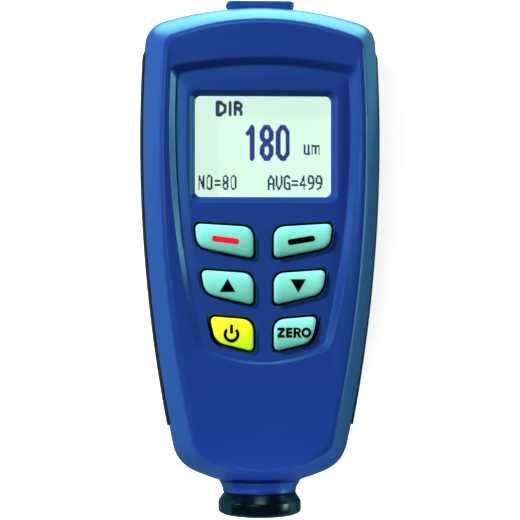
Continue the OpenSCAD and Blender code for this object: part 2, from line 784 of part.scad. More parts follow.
module keypad_mat() {
    color([0.3, 0.32, 0.34])
        difference() {
            union() {
                translate([0, 0, board_top + seat])
                    linear_extrude(mat_thickness)
                        polygon(shield([recess_half(key_top_y) - 3.4, recess_low_width / 2 - 3,
                            recess_low_y + 4, key_top_y + 0.4, 0.6, 1.5, 0.3, 2, 1.5]));
                both() for (row = [0:2])
                    translate([key_middle(row)[0], key_middle(row)[1], board_top + seat])
                        cylinder(r1 = dome_radius, r2 = key_stem_radius, h = dome_top - board_top - seat);
            }
            both() for (row = [0:2])
                translate([key_middle(row)[0], key_middle(row)[1], board_top])
                    cylinder(r1 = dome_radius - 0.7, r2 = key_stem_radius - 0.8,
                        h = dome_top - board_top - 1);
            translate([-connector_width / 2 - mat_gap, connector_y + connector_length + mat_gap - mat_notch,
                board_top])
                cube([connector_width + 2 * mat_gap, mat_notch, mat_thickness + 1]);
        }
}
module key_left_soft() {
    color([0.42, 0.79, 0.75]) mirror([1, 0, 0]) key(0);
}
module key_right_soft() {
    color([0.42, 0.79, 0.75]) key(0);
}
module key_up() {
    color([0.42, 0.79, 0.75]) mirror([1, 0, 0]) key(1);
}
module key_down() {
    color([0.42, 0.79, 0.75]) key(1);
}
module key_power() {
    color([0.95, 0.95, 0.2]) mirror([1, 0, 0]) key(2);
}
module key_zero() {
    color([0.42, 0.79, 0.75]) key(2);
}

// Probe
collar_radius = collar_diameter / 2;
nose_radius = sleeve_radius - 1;
tip_radius = tip_diameter / 2;
plunger_radius = sleeve_radius - sleeve_wall - tip_clearance;
nose_top_y = collar_length + 0.4;
plunger_low_y = nose_top_y + 0.1;
plunger_body = 7;
stem_radius = 2.4;
stem_length = 4.6;
plunger_top_y = plunger_low_y + plunger_body + stem_length;
cap_length = 3;
cap_low_y = sleeve_top_y - cap_length;
collar_face = 1.4;
collar_bore = tip_radius + 0.4;
dome_shoulder = 0.3;
module probe_collar() {
    color([0.06, 0.07, 0.08])
        along(0, parting)
            rotate_extrude($fn = 72)
                polygon(concat(
                    [for (t = [0:0.125:1])
                        bend([collar_bore, -collar_dome], [collar_radius - dome_shoulder, -collar_dome],
                            [collar_radius, collar_straight / 4], t)],
                    [[collar_radius, collar_straight], [collar_neck_diameter / 2, collar_length],
                     [nose_radius + sleeve_clearance, collar_length],
                     [nose_radius + sleeve_clearance, collar_face], [collar_bore, collar_face]]));
}
module probe_sleeve() {
    color([0.7, 0.68, 0.6])
        along(0, parting)
            rotate_extrude($fn = 72)
                polygon([[tip_radius + tip_clearance, sleeve_low_y], [nose_radius, sleeve_low_y],
                    [nose_radius, collar_length + seat], [sleeve_radius, collar_length + seat],
                    [sleeve_radius, flange_y], [flange_radius, flange_y],
                    [flange_radius, flange_y + flange_length], [sleeve_radius, flange_y + flange_length],
                    [sleeve_radius, sleeve_top_y], [sleeve_radius - sleeve_wall, sleeve_top_y],
                    [sleeve_radius - sleeve_wall, nose_top_y], [tip_radius + tip_clearance, nose_top_y]]);
}
module probe_plunger() {
    color([0.75, 0.75, 0.78])
        along(0, parting)
            rotate_extrude($fn = 72)
                polygon(concat(
                    [for (a = [0:15:90])
                        [tip_radius * sin(a), tip_radius * (1 - cos(a)) - tip_proud - collar_dome]],
                    [[tip_radius, plunger_low_y], [plunger_radius, plunger_low_y],
                     [plunger_radius, plunger_low_y + plunger_body],
                     [stem_radius, plunger_low_y + plunger_body],
                     [stem_radius, plunger_top_y], [0, plunger_top_y]]));
}
module probe_coil() {
    color([0.72, 0.4, 0.2])
        along(plunger_low_y + plunger_body + seat, parting)
            rotate_extrude($fn = 48)
                polygon([[stem_radius + seat, 0], [plunger_radius - 0.5, 0],
                    [plunger_radius - 0.5, stem_length - 0.2], [stem_radius + seat, stem_length - 0.2]]);
}

// A coil spring of round wire standing on its end
module coil(low_radius, top_radius, wire, length, turns) {
    sides = 5;
    steps = 11;
    n = turns * steps;
    loft_points = [for (k = [0:n], i = [0:sides - 1])
        let (a = 360 * k / steps, r = mix(low_radius, top_radius, k / n), b = -360 * i / sides)
        let (q = r + wire / 2 * cos(b))
        [q * cos(a), q * sin(a), wire / 2 + (length - wire) * k / n + wire / 2 * sin(b)]];
    polyhedron(
        points = loft_points,
        faces = concat(
            [[for (i = [0:sides - 1]) i]],
            [for (k = [0:n - 1], i = [0:sides - 1])
                [k * sides + i, (k + 1) * sides + i, (k + 1) * sides + (i + 1) % sides,
                 k * sides + (i + 1) % sides]],
            [[for (i = [sides - 1:-1:0]) n * sides + i]]),
        convexity = 10);
}
module probe_spring() {
    color([0.75, 0.75, 0.78])
        along(plunger_top_y + seat, parting)
            coil(stem_radius + 0.5, stem_radius + 0.5, probe_wire, cap_low_y - plunger_top_y - 2 * seat, 6);
}
lead_bore = lead_radius + 0.1;
module probe_end_cap() {
    color([0.1, 0.1, 0.1])
        along(cap_low_y, parting)
            difference() {
                cylinder(r = sleeve_radius - sleeve_wall - seat, h = cap_length + 0.8);
                translate([0, 0, 1]) cylinder(r = lead_bore, h = cap_length);
            }
}
connector_y = lead_y + 2 * lead_turn + 0.2;
connector_width = 6;
connector_length = 2;
module probe_lead() {
    color([0.5, 0.08, 0.08]) {
        along(cap_low_y + 1 + seat, parting)
            cylinder(r = lead_radius, h = lead_y - cap_low_y - 1 - seat, $fn = 24);
        translate([0, lead_y, parting + lead_turn])
            rotate([0, 90, 0])
                rotate_extrude(angle = 90, $fn = 48)
                    translate([lead_turn, 0]) circle(lead_radius, $fn = 24);
        translate([0, lead_y + lead_turn, parting + lead_turn])
            cylinder(r = lead_radius, h = lead_z - parting - 2 * lead_turn, $fn = 24);
        translate([0, lead_y + 2 * lead_turn, lead_z - lead_turn])
            rotate([0, 90, 0])
                rotate([0, 0, 180])
                    rotate_extrude(angle = 90, $fn = 48)
                        translate([lead_turn, 0]) circle(lead_radius, $fn = 24);
        along(lead_y + 2 * lead_turn, lead_z)
            cylinder(r = lead_radius, h = connector_y - seat - lead_y - 2 * lead_turn, $fn = 24);
    }
}
module probe_connector() {
    color([0.9, 0.88, 0.8])
        translate([-connector_width / 2, connector_y, board_top + seat])
            cube([connector_width, connector_length, 3.2]);
}

// Battery pieces
module battery_door() {
    color([0.12, 0.25, 0.55]) {
        translate([0, hinge_y, door_sink])
            linear_extrude(door_thickness)
                hull() {
                    translate([-door_width / 2, 0]) square([door_width, door_corner]);
                    for (x = [-1, 1])
                        translate([x * (door_width / 2 - door_corner), door_top_y - hinge_y - door_corner])
                            circle(door_corner, $fn = 24);
                }
        translate([0, hinge_y, hinge_z])
            rotate([0, 90, 0])
                cylinder(r = hinge_radius, h = door_width + 2 * door_pin_length, center = true);
        translate([-latch_width / 2, door_top_y - latch_root, door_sink + door_thickness - 0.5])
            cube([latch_width, latch_thickness, latch_height + 0.5]);
        translate([-latch_width / 2, door_top_y - latch_root, door_sink + door_thickness + 0.3])
            cube([latch_width, latch_root + latch_bite, latch_height - 0.3]);
    }
}
module cell() {
    cap_radius = 1.9;
    cap_height = 0.9;
    cylinder(d = cell_diameter, h = cell_length - cap_height);
    cylinder(r = cap_radius, h = cell_length);
}
cell_low_y = bay_low_y + contact_thickness + 2 * seat;
cell_far_y = bay_top_y - contact_thickness - 2 * seat;
module battery_cell_left() {
    color([0.2, 0.2, 0.22])
        translate([-cell_x, cell_far_y - cell_length, cell_z]) rotate([-90, 0, 0]) cell();
}
module battery_cell_right() {
    color([0.2, 0.2, 0.22])
        translate([cell_x, cell_low_y + cell_length, cell_z]) rotate([90, 0, 0]) cell();
}
module battery_springs() {
    spring_length = bay_length - cell_length - 2 * contact_thickness - 6 * seat;
    color([0.78, 0.78, 0.8]) {
        translate([-cell_x, cell_low_y, cell_z]) rotate([-90, 0, 0]) coil(3.8, 2.2, 0.7, spring_length, 3);
        translate([cell_x, cell_far_y, cell_z]) rotate([90, 0, 0]) coil(3.8, 2.2, 0.7, spring_length, 3);
    }
}
module battery_plates() {
    plate = 9;
    color([0.78, 0.78, 0.8]) {
        for (x = [-cell_x, cell_x])
            translate([x - plate / 2, bay_top_y - seat - contact_thickness, cell_z - plate / 2])
                cube([plate, contact_thickness, plate]);
        translate([-cell_x - plate / 2, bay_low_y + seat, cell_z - plate / 2])
            cube([2 * cell_x + plate, contact_thickness, plate]);
    }
}

module placed() translate([0, -middle_y, 0]) children();

placed() rear_housing();
placed() front_housing();
placed() left_side_grip();
placed() right_side_grip();
placed() display_window();
placed() lcd_panel();
placed() lcd_frame();
placed() backlight_panel();
placed() lcd_connector_strip();
placed() main_board();
placed() board_chips();
placed() board_screws();
placed() case_screws();
placed() buzzer();
placed() keypad_mat();
placed() key_left_soft();
placed() key_right_soft();
placed() key_up();
placed() key_down();
placed() key_power();
placed() key_zero();
placed() data_socket();
placed() data_port_cover();
placed() probe_collar();
placed() probe_sleeve();
placed() probe_plunger();
placed() probe_coil();
placed() probe_spring();
placed() probe_end_cap();
placed() probe_lead();
placed() probe_connector();
placed() battery_door();
placed() battery_cell_left();
placed() battery_cell_right();
placed() battery_springs();
placed() battery_plates();
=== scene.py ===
import math
import bpy
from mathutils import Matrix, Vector


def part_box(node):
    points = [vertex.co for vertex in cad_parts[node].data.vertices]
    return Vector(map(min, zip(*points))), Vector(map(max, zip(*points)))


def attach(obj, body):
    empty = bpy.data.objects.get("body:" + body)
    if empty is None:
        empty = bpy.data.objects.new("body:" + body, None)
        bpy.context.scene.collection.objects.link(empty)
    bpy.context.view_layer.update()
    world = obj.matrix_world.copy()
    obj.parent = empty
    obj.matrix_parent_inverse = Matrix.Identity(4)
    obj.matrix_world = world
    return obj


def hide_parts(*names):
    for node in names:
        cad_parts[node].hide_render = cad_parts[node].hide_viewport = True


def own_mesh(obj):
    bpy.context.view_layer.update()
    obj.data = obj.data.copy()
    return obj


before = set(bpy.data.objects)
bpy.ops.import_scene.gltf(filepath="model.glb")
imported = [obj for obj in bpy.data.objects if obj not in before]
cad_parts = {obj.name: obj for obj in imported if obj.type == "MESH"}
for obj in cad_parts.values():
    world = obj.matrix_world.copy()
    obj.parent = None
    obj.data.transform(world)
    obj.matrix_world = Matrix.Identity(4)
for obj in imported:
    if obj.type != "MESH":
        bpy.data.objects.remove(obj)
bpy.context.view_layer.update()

# Rear housing
# The back shell, injection moulded in blue ABS with a fine spark-eroded grain.
# It carries the battery bay and is the skin of the frame's solid, merged and smoothed.


class Wire:
    """One socket of a node tree that works in sums. node() adds any other node."""

    def __init__(self, socket):
        self.socket = socket
        self.tree = socket.id_data

    def node(self, kind, settings=None, inputs=None, output=0):
        made = self.tree.nodes.new(kind)
        for name, value in (settings or {}).items():
            if name == "stops":
                ramp = made.color_ramp.elements
                while len(ramp) < len(value):
                    ramp.new(1)
                for stop, (position, colour) in zip(ramp, value):
                    stop.position = position
                    stop.color = (*colour, 1)
            else:
                setattr(made, name, value)
        for key, value in (inputs or {}).items():
            if isinstance(value, Wire):
                self.tree.links.new(value.socket, made.inputs[key])
            else:
                made.inputs[key].default_value = value
        return Wire(made.outputs[output])

    def sum_with(self, operation, first, second):
        return self.node("ShaderNodeMath", {"operation": operation}, {0: first, 1: second})

    def __add__(self, other):
        return self.sum_with("ADD", self, other)

    def __sub__(self, other):
        return self.sum_with("SUBTRACT", self, other)

    def __rsub__(self, other):
        return self.sum_with("SUBTRACT", other, self)

    def __mul__(self, other):
        return self.sum_with("MULTIPLY", self, other)

    __radd__ = __add__
    __rmul__ = __mul__


def new_material(name, constants):
    """A Principled material: the material, its shader and the Object coordinates."""
    made = bpy.data.materials.new(name)
    made.use_nodes = True
    shader = made.node_tree.nodes["Principled BSDF"]
    for key, value in constants.items():
        shader.inputs[key].default_value = value
    place = made.node_tree.nodes.new("ShaderNodeTexCoord")
    return made, shader, Wire(place.outputs["Object"])


def feed(shader, key, wire):
    shader.id_data.links.new(wire.socket, shader.inputs[key])


def noise(place, scale, detail=2):
    return place.node("ShaderNodeTexNoise", {}, {"Vector": place, "Scale": scale, "Detail": detail})


def mixed(place, factor, first, second):
    """A colour between two others, each of them a plain colour or a wire."""
    ends = [end if isinstance(end, Wire) else (*end, 1) for end in (first, second)]
    return place.node("ShaderNodeMix", {"data_type": "RGBA"}, {0: factor, 6: ends[0], 7: ends[1]}, 2)


def grain(shader, place, scale, strength, depth):
    """A fine moulded texture as bump."""
    height = noise(place, scale, 3)
    bump = place.node("ShaderNodeBump", {}, {"Strength": strength, "Distance": depth, "Height": height})
    feed(shader, "Normal", bump)


def mottled(name, first, second, scale, constants, roughness=(0.4, 0.1), bump=(6000, 0.1, 0.00002)):
    """A material whose colour wanders between two near shades, with its own gloss and grain."""
    made, shader, place = new_material(name, constants)
    wander = noise(place, scale, 4)
    feed(shader, "Base Color", mixed(place, wander, first, second))
    feed(shader, "Roughness", noise(place, scale * 6) * roughness[1] + roughness[0])
    grain(shader, place, *bump)
    return made


blue_plastic = mottled(
    "blue plastic", (0.0076, 0.0260, 0.172), (0.0092, 0.0310, 0.198), 70,
    {"Specular Tint": (0.20, 0.92, 1.0, 1), "Specular IOR Level": 0.72},
    roughness=(0.29, 0.09), bump=(5200, 0.25, 0.00002))


def select_only(made):
    bpy.ops.object.select_all(action="DESELECT")
    made.select_set(True)
    bpy.context.view_layer.objects.active = made


def on_whole_mesh(made, operator, **settings):
    """Runs one edit mode operator on everything in a mesh."""
    select_only(made)
    bpy.ops.object.mode_set(mode="EDIT")
    bpy.ops.mesh.select_all(action="SELECT")
    operator(**settings)
    bpy.ops.object.mode_set(mode="OBJECT")


def smooth(made, angle):
    """Shades a piece smooth and keeps the edges that turn by more than the angle."""
    select_only(made)
    bpy.ops.object.shade_smooth_by_angle(angle=math.radians(angle))


def merged_copy(node, name):
    """The skin of a CAD node as one smooth mesh of its own."""
    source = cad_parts[node]
    made = source.copy()
    made.data = source.data.copy()
    made.name = name
    made.parent = None
    made.matrix_world = source.matrix_world.copy()
    bpy.context.scene.collection.objects.link(made)
    select_only(made)
    bpy.ops.mesh.customdata_custom_splitnormals_clear()
    on_whole_mesh(made, bpy.ops.mesh.remove_doubles, threshold=1e-6)
    smooth(made, 30)
    return made


def settle(made, material, slot, body, *nodes):
    """Gives a finished piece its material and its body, and hides the CAD nodes that it stands for."""
    made.data.materials.clear()
    made.data.materials.append(material)
    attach(made, body)
    if nodes:
        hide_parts(*nodes)


def dress(node, material):
    """Gives a carried-over CAD node its material."""
    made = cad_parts[node]
    made.data.materials.clear()
    made.data.materials.append(material)


CASE = "gauge_case"
settle(merged_copy("rear_housing", "back_shell"), blue_plastic, "blue_plastic", CASE, "rear_housing")

# Battery contacts, cells and door
# Nickel-plated spring wire and plates sit at the ends of the bay, two sleeved cells between them.
# The door is moulded like the shell, hooked on two pins and held by a snap tongue.

nickel = mottled(
    "nickel plate", (0.55, 0.54, 0.51), (0.66, 0.65, 0.62), 400, {"Metallic": 1.0},
    roughness=(0.22, 0.15), bump=(9000, 0.05, 0.00001))
for contact in ("battery_springs", "battery_plates"):
    dress(contact, nickel)

cell_wrap, cell_shader, cell_place = new_material("cell sleeve", {"Roughness": 0.3})
BAND_START = -0.004
bands = cell_place.node("ShaderNodeSeparateXYZ", {}, {"Vector": cell_place}, 1)
band = bands.sum_with("GREATER_THAN", bands, BAND_START)
feed(cell_shader, "Base Color", mixed(cell_place, band, (0.03, 0.032, 0.04), (0.30, 0.20, 0.06)))
grain(cell_shader, cell_place, 3000, 0.03, 0.00001)
for cell in ("battery_cell_left", "battery_cell_right"):
    dress(cell, cell_wrap)


def rounded_edges(made, width):
    """Breaks the sharp edges of a finished piece."""
    select_only(made)
    bevel = made.modifiers.new("edges", "BEVEL")
    bevel.width = width
    bevel.segments = 2
    bevel.limit_method = "ANGLE"
    bevel.angle_limit = math.radians(40)
    bpy.ops.object.modifier_apply(modifier="edges")
    smooth(made, 35)


DOOR_EDGE = 0.00018
door = merged_copy("battery_door", "battery_door_lid")
on_whole_mesh(door, bpy.ops.mesh.dissolve_limited, angle_limit=math.radians(1))
rounded_edges(door, DOOR_EDGE)
settle(door, blue_plastic, "blue_plastic", "bay_door", "battery_door")

# Measuring probe
# A brass sleeve guides a hardened steel plunger with a round tip, a copper coil and a return spring.
# The black collar is a glossy moulded ring screwed on the end of the sleeve.

brass = mottled(
    "turned brass", (0.55, 0.38, 0.14), (0.64, 0.46, 0.20), 300, {"Metallic": 1.0}, roughness=(0.25, 0.15))
steel = mottled(
    "polished steel", (0.55, 0.55, 0.56), (0.64, 0.64, 0.65), 300, {"Metallic": 1.0}, roughness=(0.14, 0.1))
copper = mottled(
    "enamelled copper", (0.45, 0.16, 0.06), (0.58, 0.24, 0.10), 500, {"Metallic": 1.0}, roughness=(0.3, 0.2))
lead_red = mottled("lead sleeve", (0.28, 0.015, 0.015), (0.34, 0.02, 0.02), 200, {}, roughness=(0.45, 0.1))
dress("probe_sleeve", brass)
dress("probe_plunger", steel)
dress("probe_coil", copper)
dress("probe_lead", lead_red)
spring = merged_copy("probe_spring", "plunger_spring")
settle(spring, nickel, "spring_steel", CASE, "probe_spring")
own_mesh(spring)

MM = 0.001
MIDDLE_Y = 56.75
AXIS_Z = 13.0


def skin(name, rings, close=(True, True)):
    """A tube extruded ring by ring from a circle, each ring then moved to its own outline."""
    count = len(rings[0])
    bpy.ops.object.select_all(action="DESELECT")
    bpy.ops.mesh.primitive_circle_add(vertices=count, radius=1)
    made = bpy.context.object
    made.name = name
    bpy.ops.object.mode_set(mode="EDIT")
    bpy.ops.mesh.select_all(action="SELECT")
    for _ in rings[1:]:
        bpy.ops.mesh.extrude_region_move(TRANSFORM_OT_translate={"value": (0, 0, 1)})
    bpy.ops.object.mode_set(mode="OBJECT")
    last = len(rings) - 1
    ends = {0: [], last: []}
    for point in made.data.vertices:
        level = round(point.co.z)
        turn = round(math.atan2(point.co.y, point.co.x) / math.tau * count) % count
        x, y, z = rings[level][turn]
        point.co = Vector((x, y - MIDDLE_Y, z)) * MM
        if level in ends:
            ends[level].append(point.index)
    for level, wanted in zip((0, last), close):
        if wanted:
            fill_loop(made, ends[level])
    turn_outward(made)
    return made


def fill_loop(made, points):
    """Closes one open end with a face."""
    select_only(made)
    bpy.ops.object.mode_set(mode="EDIT")
    bpy.ops.mesh.select_all(action="DESELECT")
    bpy.ops.object.mode_set(mode="OBJECT")
    for index in points:
        made.data.vertices[index].select = True
    bpy.ops.object.mode_set(mode="EDIT")
    bpy.ops.mesh.select_mode(type="VERT")
    bpy.ops.mesh.edge_face_add()
    bpy.ops.object.mode_set(mode="OBJECT")


def turn_outward(made):
    on_whole_mesh(made, bpy.ops.mesh.normals_make_consistent, inside=False)


def mix(a, b, t):
    return tuple(p + (q - p) * t for p, q in zip(a, b))


def bend(a, b, c, t):
    """A point on the curve from a to c that leans toward b."""
    return mix(mix(a, b, t), mix(b, c, t), t)


def turned_ring(radius, y, count=96):
    """A circle about the probe's axis."""
    steps = [math.tau * i / count for i in range(count)]
    return [(radius * math.sin(a), y, AXIS_Z + radius * math.cos(a)) for a in steps]


def softened(outline, radius, steps=4):
    """An open outline with its inner corners rounded."""
    path = [outline[0]]
    for before, corner, after in zip(outline, outline[1:], outline[2:]):
        reach_in = min(radius / math.dist(before, corner), 0.45)
        reach_out = min(radius / math.dist(after, corner), 0.45)
        start = mix(corner, before, reach_in)
        end = mix(corner, after, reach_out)
        path += [bend(start, corner, end, i / steps) for i in range(steps + 1)]
    return path + [outline[-1]]


COLLAR_RADIUS = 9.3
COLLAR_TOP_RADIUS = 8.0
COLLAR_STRAIGHT = 2.8
COLLAR_LENGTH = 4.8
COLLAR_ROUND = 0.25
COLLAR_BORE = 2.3
DOME_START = COLLAR_STRAIGHT / 4
DOME_HEIGHT = 0.7
DOME_LEAN = 0.3
DOME_STEPS = 16
NOSE_BORE = 5.46
NOSE_DEPTH = 1.4
dome = [bend((COLLAR_RADIUS, DOME_START), (COLLAR_RADIUS - DOME_LEAN, -DOME_HEIGHT),
             (COLLAR_BORE, -DOME_HEIGHT), k / DOME_STEPS) for k in range(DOME_STEPS + 1)]
collar_path = softened(
    [(NOSE_BORE, NOSE_DEPTH), (NOSE_BORE, COLLAR_LENGTH), (COLLAR_TOP_RADIUS, COLLAR_LENGTH),
     (COLLAR_RADIUS, COLLAR_STRAIGHT), (COLLAR_RADIUS, DOME_START)], COLLAR_ROUND)[:-1] + dome
collar_path += [(COLLAR_BORE, NOSE_DEPTH), (NOSE_BORE, NOSE_DEPTH)]
collar = skin("black_collar", [turned_ring(r, y) for r, y in collar_path], (False, False))
on_whole_mesh(collar, bpy.ops.mesh.remove_doubles, threshold=1e-7)
turn_outward(collar)
smooth(collar, 35)
collar_black, collar_shader, collar_place = new_material(
    "glossy black", {"Specular Tint": (0.35, 0.9, 0.9, 1), "Specular IOR Level": 0.5, "Roughness": 0.2})
dust = collar_place.node(
    "ShaderNodeValToRGB", {"stops": [(0.70, (0, 0, 0)), (0.76, (1, 1, 1))]},
    {"Fac": noise(collar_place, 2600, 1)})
feed(collar_shader, "Base Color", mixed(collar_place, dust, (0.0006, 0.0014, 0.002), (0.004, 0.007, 0.008)))
feed(collar_shader, "Roughness", dust * 0.3 + 0.24)
grain(collar_shader, collar_place, 1500, 0.04, 0.00002)
settle(collar, collar_black, "collar_plastic", CASE, "probe_collar")

# Board, its parts and the case screws
# A green fibre board with a solder mask, black moulded chips and buzzer, plated screws and socket.
# They keep the frame's own shapes, but the four case screws get a cross recess in their heads.

board_green = mottled("solder mask", (0.006, 0.10, 0.04), (0.01, 0.15, 0.06), 250, {}, roughness=(0.3, 0.1))
chip_black = mottled(
    "moulded black", (0.014, 0.014, 0.016), (0.022, 0.022, 0.024), 300, {}, roughness=(0.5, 0.1))
zinc = mottled(
    "zinc plate", (0.50, 0.50, 0.49), (0.60, 0.60, 0.58), 500, {"Metallic": 1.0}, roughness=(0.3, 0.15))
ivory = mottled("ivory plastic", (0.70, 0.68, 0.62), (0.76, 0.74, 0.68), 150, {}, roughness=(0.45, 0.1))
dress("main_board", board_green)
dress("probe_connector", ivory)
for black_part in ("board_chips", "buzzer", "probe_end_cap"):
    dress(black_part, chip_black)
for plated_part in ("board_screws", "data_socket"):
    dress(plated_part, zinc)


def carve(made, tool, operation):
    """Joins or cuts a tool solid and drops the tool."""
    select_only(made)
    change = made.modifiers.new("carve", "BOOLEAN")
    change.operation = operation
    change.solver = "EXACT"
    change.object = tool
    bpy.ops.object.modifier_apply(modifier="carve")
    bpy.data.objects.remove(tool, do_unlink=True)


SLOT_LENGTH = 0.0024
SLOT_WIDTH = 0.0006
SLOT_DEPTH = 0.0008
SCREW_EDGE = 0.0002
HEAD_FLATNESS = 0.00001
screws = merged_copy("case_screws", "case_screw_set")
rounded_edges(screws, SCREW_EDGE)
head_z = min(point.co.z for point in screws.data.vertices)
head_points = [point.co.copy() for point in screws.data.vertices if point.co.z < head_z + HEAD_FLATNESS]
for side in (-1, 1):
    for end in (-1, 1):
        rim = [co for co in head_points if co.x * side > 0 and co.y * end > 0]
        centre = sum(rim, Vector((0, 0, 0))) / len(rim)
        for across in ((SLOT_LENGTH, SLOT_WIDTH), (SLOT_WIDTH, SLOT_LENGTH)):
            bpy.ops.object.select_all(action="DESELECT")
            bpy.ops.mesh.primitive_cube_add(size=1, location=centre, scale=(*across, 2 * SLOT_DEPTH))
            bpy.ops.object.transform_apply(location=True, rotation=False, scale=True)
            carve(screws, bpy.context.object, "DIFFERENCE")
settle(screws, zinc, "screw_steel", CASE, "case_screws")

# Display
# A pale reflective panel in an ivory frame over a milky diffuser, behind a clear lens.
# The readout is dark dots on a square grid, as such a panel makes its figures.

milky = mottled("diffuser", (0.72, 0.78, 0.70), (0.80, 0.85, 0.78), 120, {}, roughness=(0.5, 0.1))
strip_grey = mottled(
    "layered strip", (0.05, 0.05, 0.055), (0.12, 0.12, 0.12), 900, {}, roughness=(0.6, 0.1))
dress("lcd_frame", ivory)
dress("backlight_panel", milky)
dress("lcd_connector_strip", strip_grey)
# The panel's emission is a painted glow that keeps it evenly pale, with no shade from the bezel.
painted_glow_panel, panel_shader, panel_place = new_material(
    "pale panel", {"Roughness": 0.4, "Specular IOR Level": 0.2, "Emission Strength": 0.98})
glow = noise(panel_place, 90, 1)
feed(panel_shader, "Base Color", mixed(panel_place, glow, (0.07, 0.10, 0.075), (0.08, 0.105, 0.09)))
feed(panel_shader, "Emission Color", mixed(panel_place, glow, (0.68, 1.0, 0.74), (0.78, 1.0, 0.92)))
dress("lcd_panel", painted_glow_panel)
lens_clear, lens_shader, lens_place = new_material(
    "clear lens", {"Base Color": (0.02, 0.03, 0.03, 1), "Roughness": 0.05, "Alpha": 0.05})
feed(lens_shader, "Roughness", noise(lens_place, 400) * 0.04 + 0.03)
dress("display_window", lens_clear)

LCD_CENTRE = (0.0, 81.65)
LCD_SLIDE = 0.2
LCD_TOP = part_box("lcd_panel")[1].z / MM
DOT = 0.2213
DOT_FILL = 0.985
DOT_LIFT = 0.02
# Each figure is a set of strokes in a box that is one unit wide and one high.
GLYPHS = {
    "D": [[(0, 0), (0, 1), (0.45, 1), (1, 0.72), (1, 0.28), (0.45, 0), (0, 0)]],
    "I": [[(0.5, 0), (0.5, 1)]],
    "R": [[(0, 0), (0, 1), (0.7, 1), (1, 0.86), (1, 0.62), (0.7, 0.5), (0, 0.5)],
          [(0.6, 0.5), (1, 0.3), (1, 0)]],
    "1": [[(0.05, 0.8), (0.3, 0.83), (0.62, 1), (0.62, 0)]],
    "8": [[(0.5, 0.5), (0.04, 0.62), (0, 0.84), (0.36, 1), (0.64, 1), (1, 0.84), (0.96, 0.62), (0.5, 0.5),
           (0.04, 0.38), (0, 0.16), (0.36, 0), (0.64, 0), (1, 0.16), (0.96, 0.38), (0.5, 0.5)]],
    "0": [[(0, 0.16), (0, 0.84), (0.38, 1), (0.62, 1), (1, 0.84), (1, 0.16), (0.62, 0), (0.38, 0),
           (0, 0.16)]],
    "N": [[(0, 0), (0, 1), (1, 0), (1, 1)]],
    "O": [[(0, 0.14), (0, 0.86), (0.35, 1), (0.65, 1), (1, 0.86), (1, 0.14), (0.65, 0), (0.35, 0),
           (0, 0.14)]],
    "=": [[(0, 0.3), (1, 0.3)], [(0, 0.62), (1, 0.62)]],
    "A": [[(0, 0), (0, 0.7), (0.5, 1), (1, 0.7), (1, 0)], [(0, 0.36), (1, 0.36)]],
    "V": [[(0, 1), (0, 0.35), (0.5, 0), (1, 0.35), (1, 1)]],
    "G": [[(1, 0.86), (0.65, 1), (0.35, 1), (0, 0.8), (0, 0.2), (0.35, 0), (1, 0), (1, 0.45), (0.6, 0.45)]],
    "4": [[(0.75, 0), (0.75, 1), (0, 0.3), (1, 0.3)]],
    "9": [[(0.3, 0), (0.75, 0.1), (1, 0.4), (1, 0.8), (0.7, 1), (0.3, 1), (0, 0.85), (0, 0.6), (0.3, 0.46),
           (1, 0.46)]],
    "u": [[(0, 1), (0, 0.15), (0.3, 0), (0.8, 0), (0.8, 1)], [(0.8, 0.1), (1, 0)]],
    "m": [[(0, 0), (0, 1), (0.4, 0.9), (0.5, 0.5)], [(0.5, 0), (0.5, 0.9), (0.9, 0.95), (1, 0.8), (1, 0)]],
}


def stroke_gap(point, start, end):
    """Distance of a point from a stroke."""
    run = (end[0] - start[0], end[1] - start[1])
    length = run[0] ** 2 + run[1] ** 2
    t = ((point[0] - start[0]) * run[0] + (point[1] - start[1]) * run[1]) / length
    t = min(max(t, 0), 1)
    return math.dist(point, (start[0] + t * run[0], start[1] + t * run[1]))


def crossed(first, second, reach):
    """The grid lines that a stroke with its pen width crosses along one axis."""
    return range(round(min(first, second) - reach), round(max(first, second) + reach) + 1)


def dots_of(word, left, low, size, step, pen):
    """The dots that a word lights, as places on the dot grid. All sizes are in dots."""
    lit = set()
    reach = pen / 2
    for order, letter in enumerate(word):
        origin = left + order * step
        for path in GLYPHS[letter]:
            spots = [(origin + x * size[0], low + y * size[1]) for x, y in path]
            for start, end in zip(spots, spots[1:]):
                columns = crossed(start[0], end[0], reach)
                rows = crossed(start[1], end[1], reach)
                lit |= {(i, j) for i in columns for j in rows if stroke_gap((i, j), start, end) <= reach}
    return lit


def dot_sheet(name, lit, material):
    """A readout word: one square plane for each dot, joined in one thin sheet."""
    bpy.ops.object.select_all(action="DESELECT")
    bpy.ops.mesh.primitive_plane_add(size=DOT * DOT_FILL * MM)
    made = bpy.context.object
    made.name = name
    bpy.ops.object.mode_set(mode="EDIT")
    bpy.ops.mesh.select_all(action="SELECT")
    order = sorted(lit)
    for _ in order[1:]:
        bpy.ops.mesh.duplicate()
    bpy.ops.object.mode_set(mode="OBJECT")
    for face, (i, j) in zip(made.data.polygons, order):
        centre = (LCD_SLIDE + i * DOT, LCD_CENTRE[1] - MIDDLE_Y + j * DOT, LCD_TOP + DOT_LIFT)
        for index in face.vertices:
            made.data.vertices[index].co += Vector(centre) * MM
    settle(made, material, "display_glass", CASE)


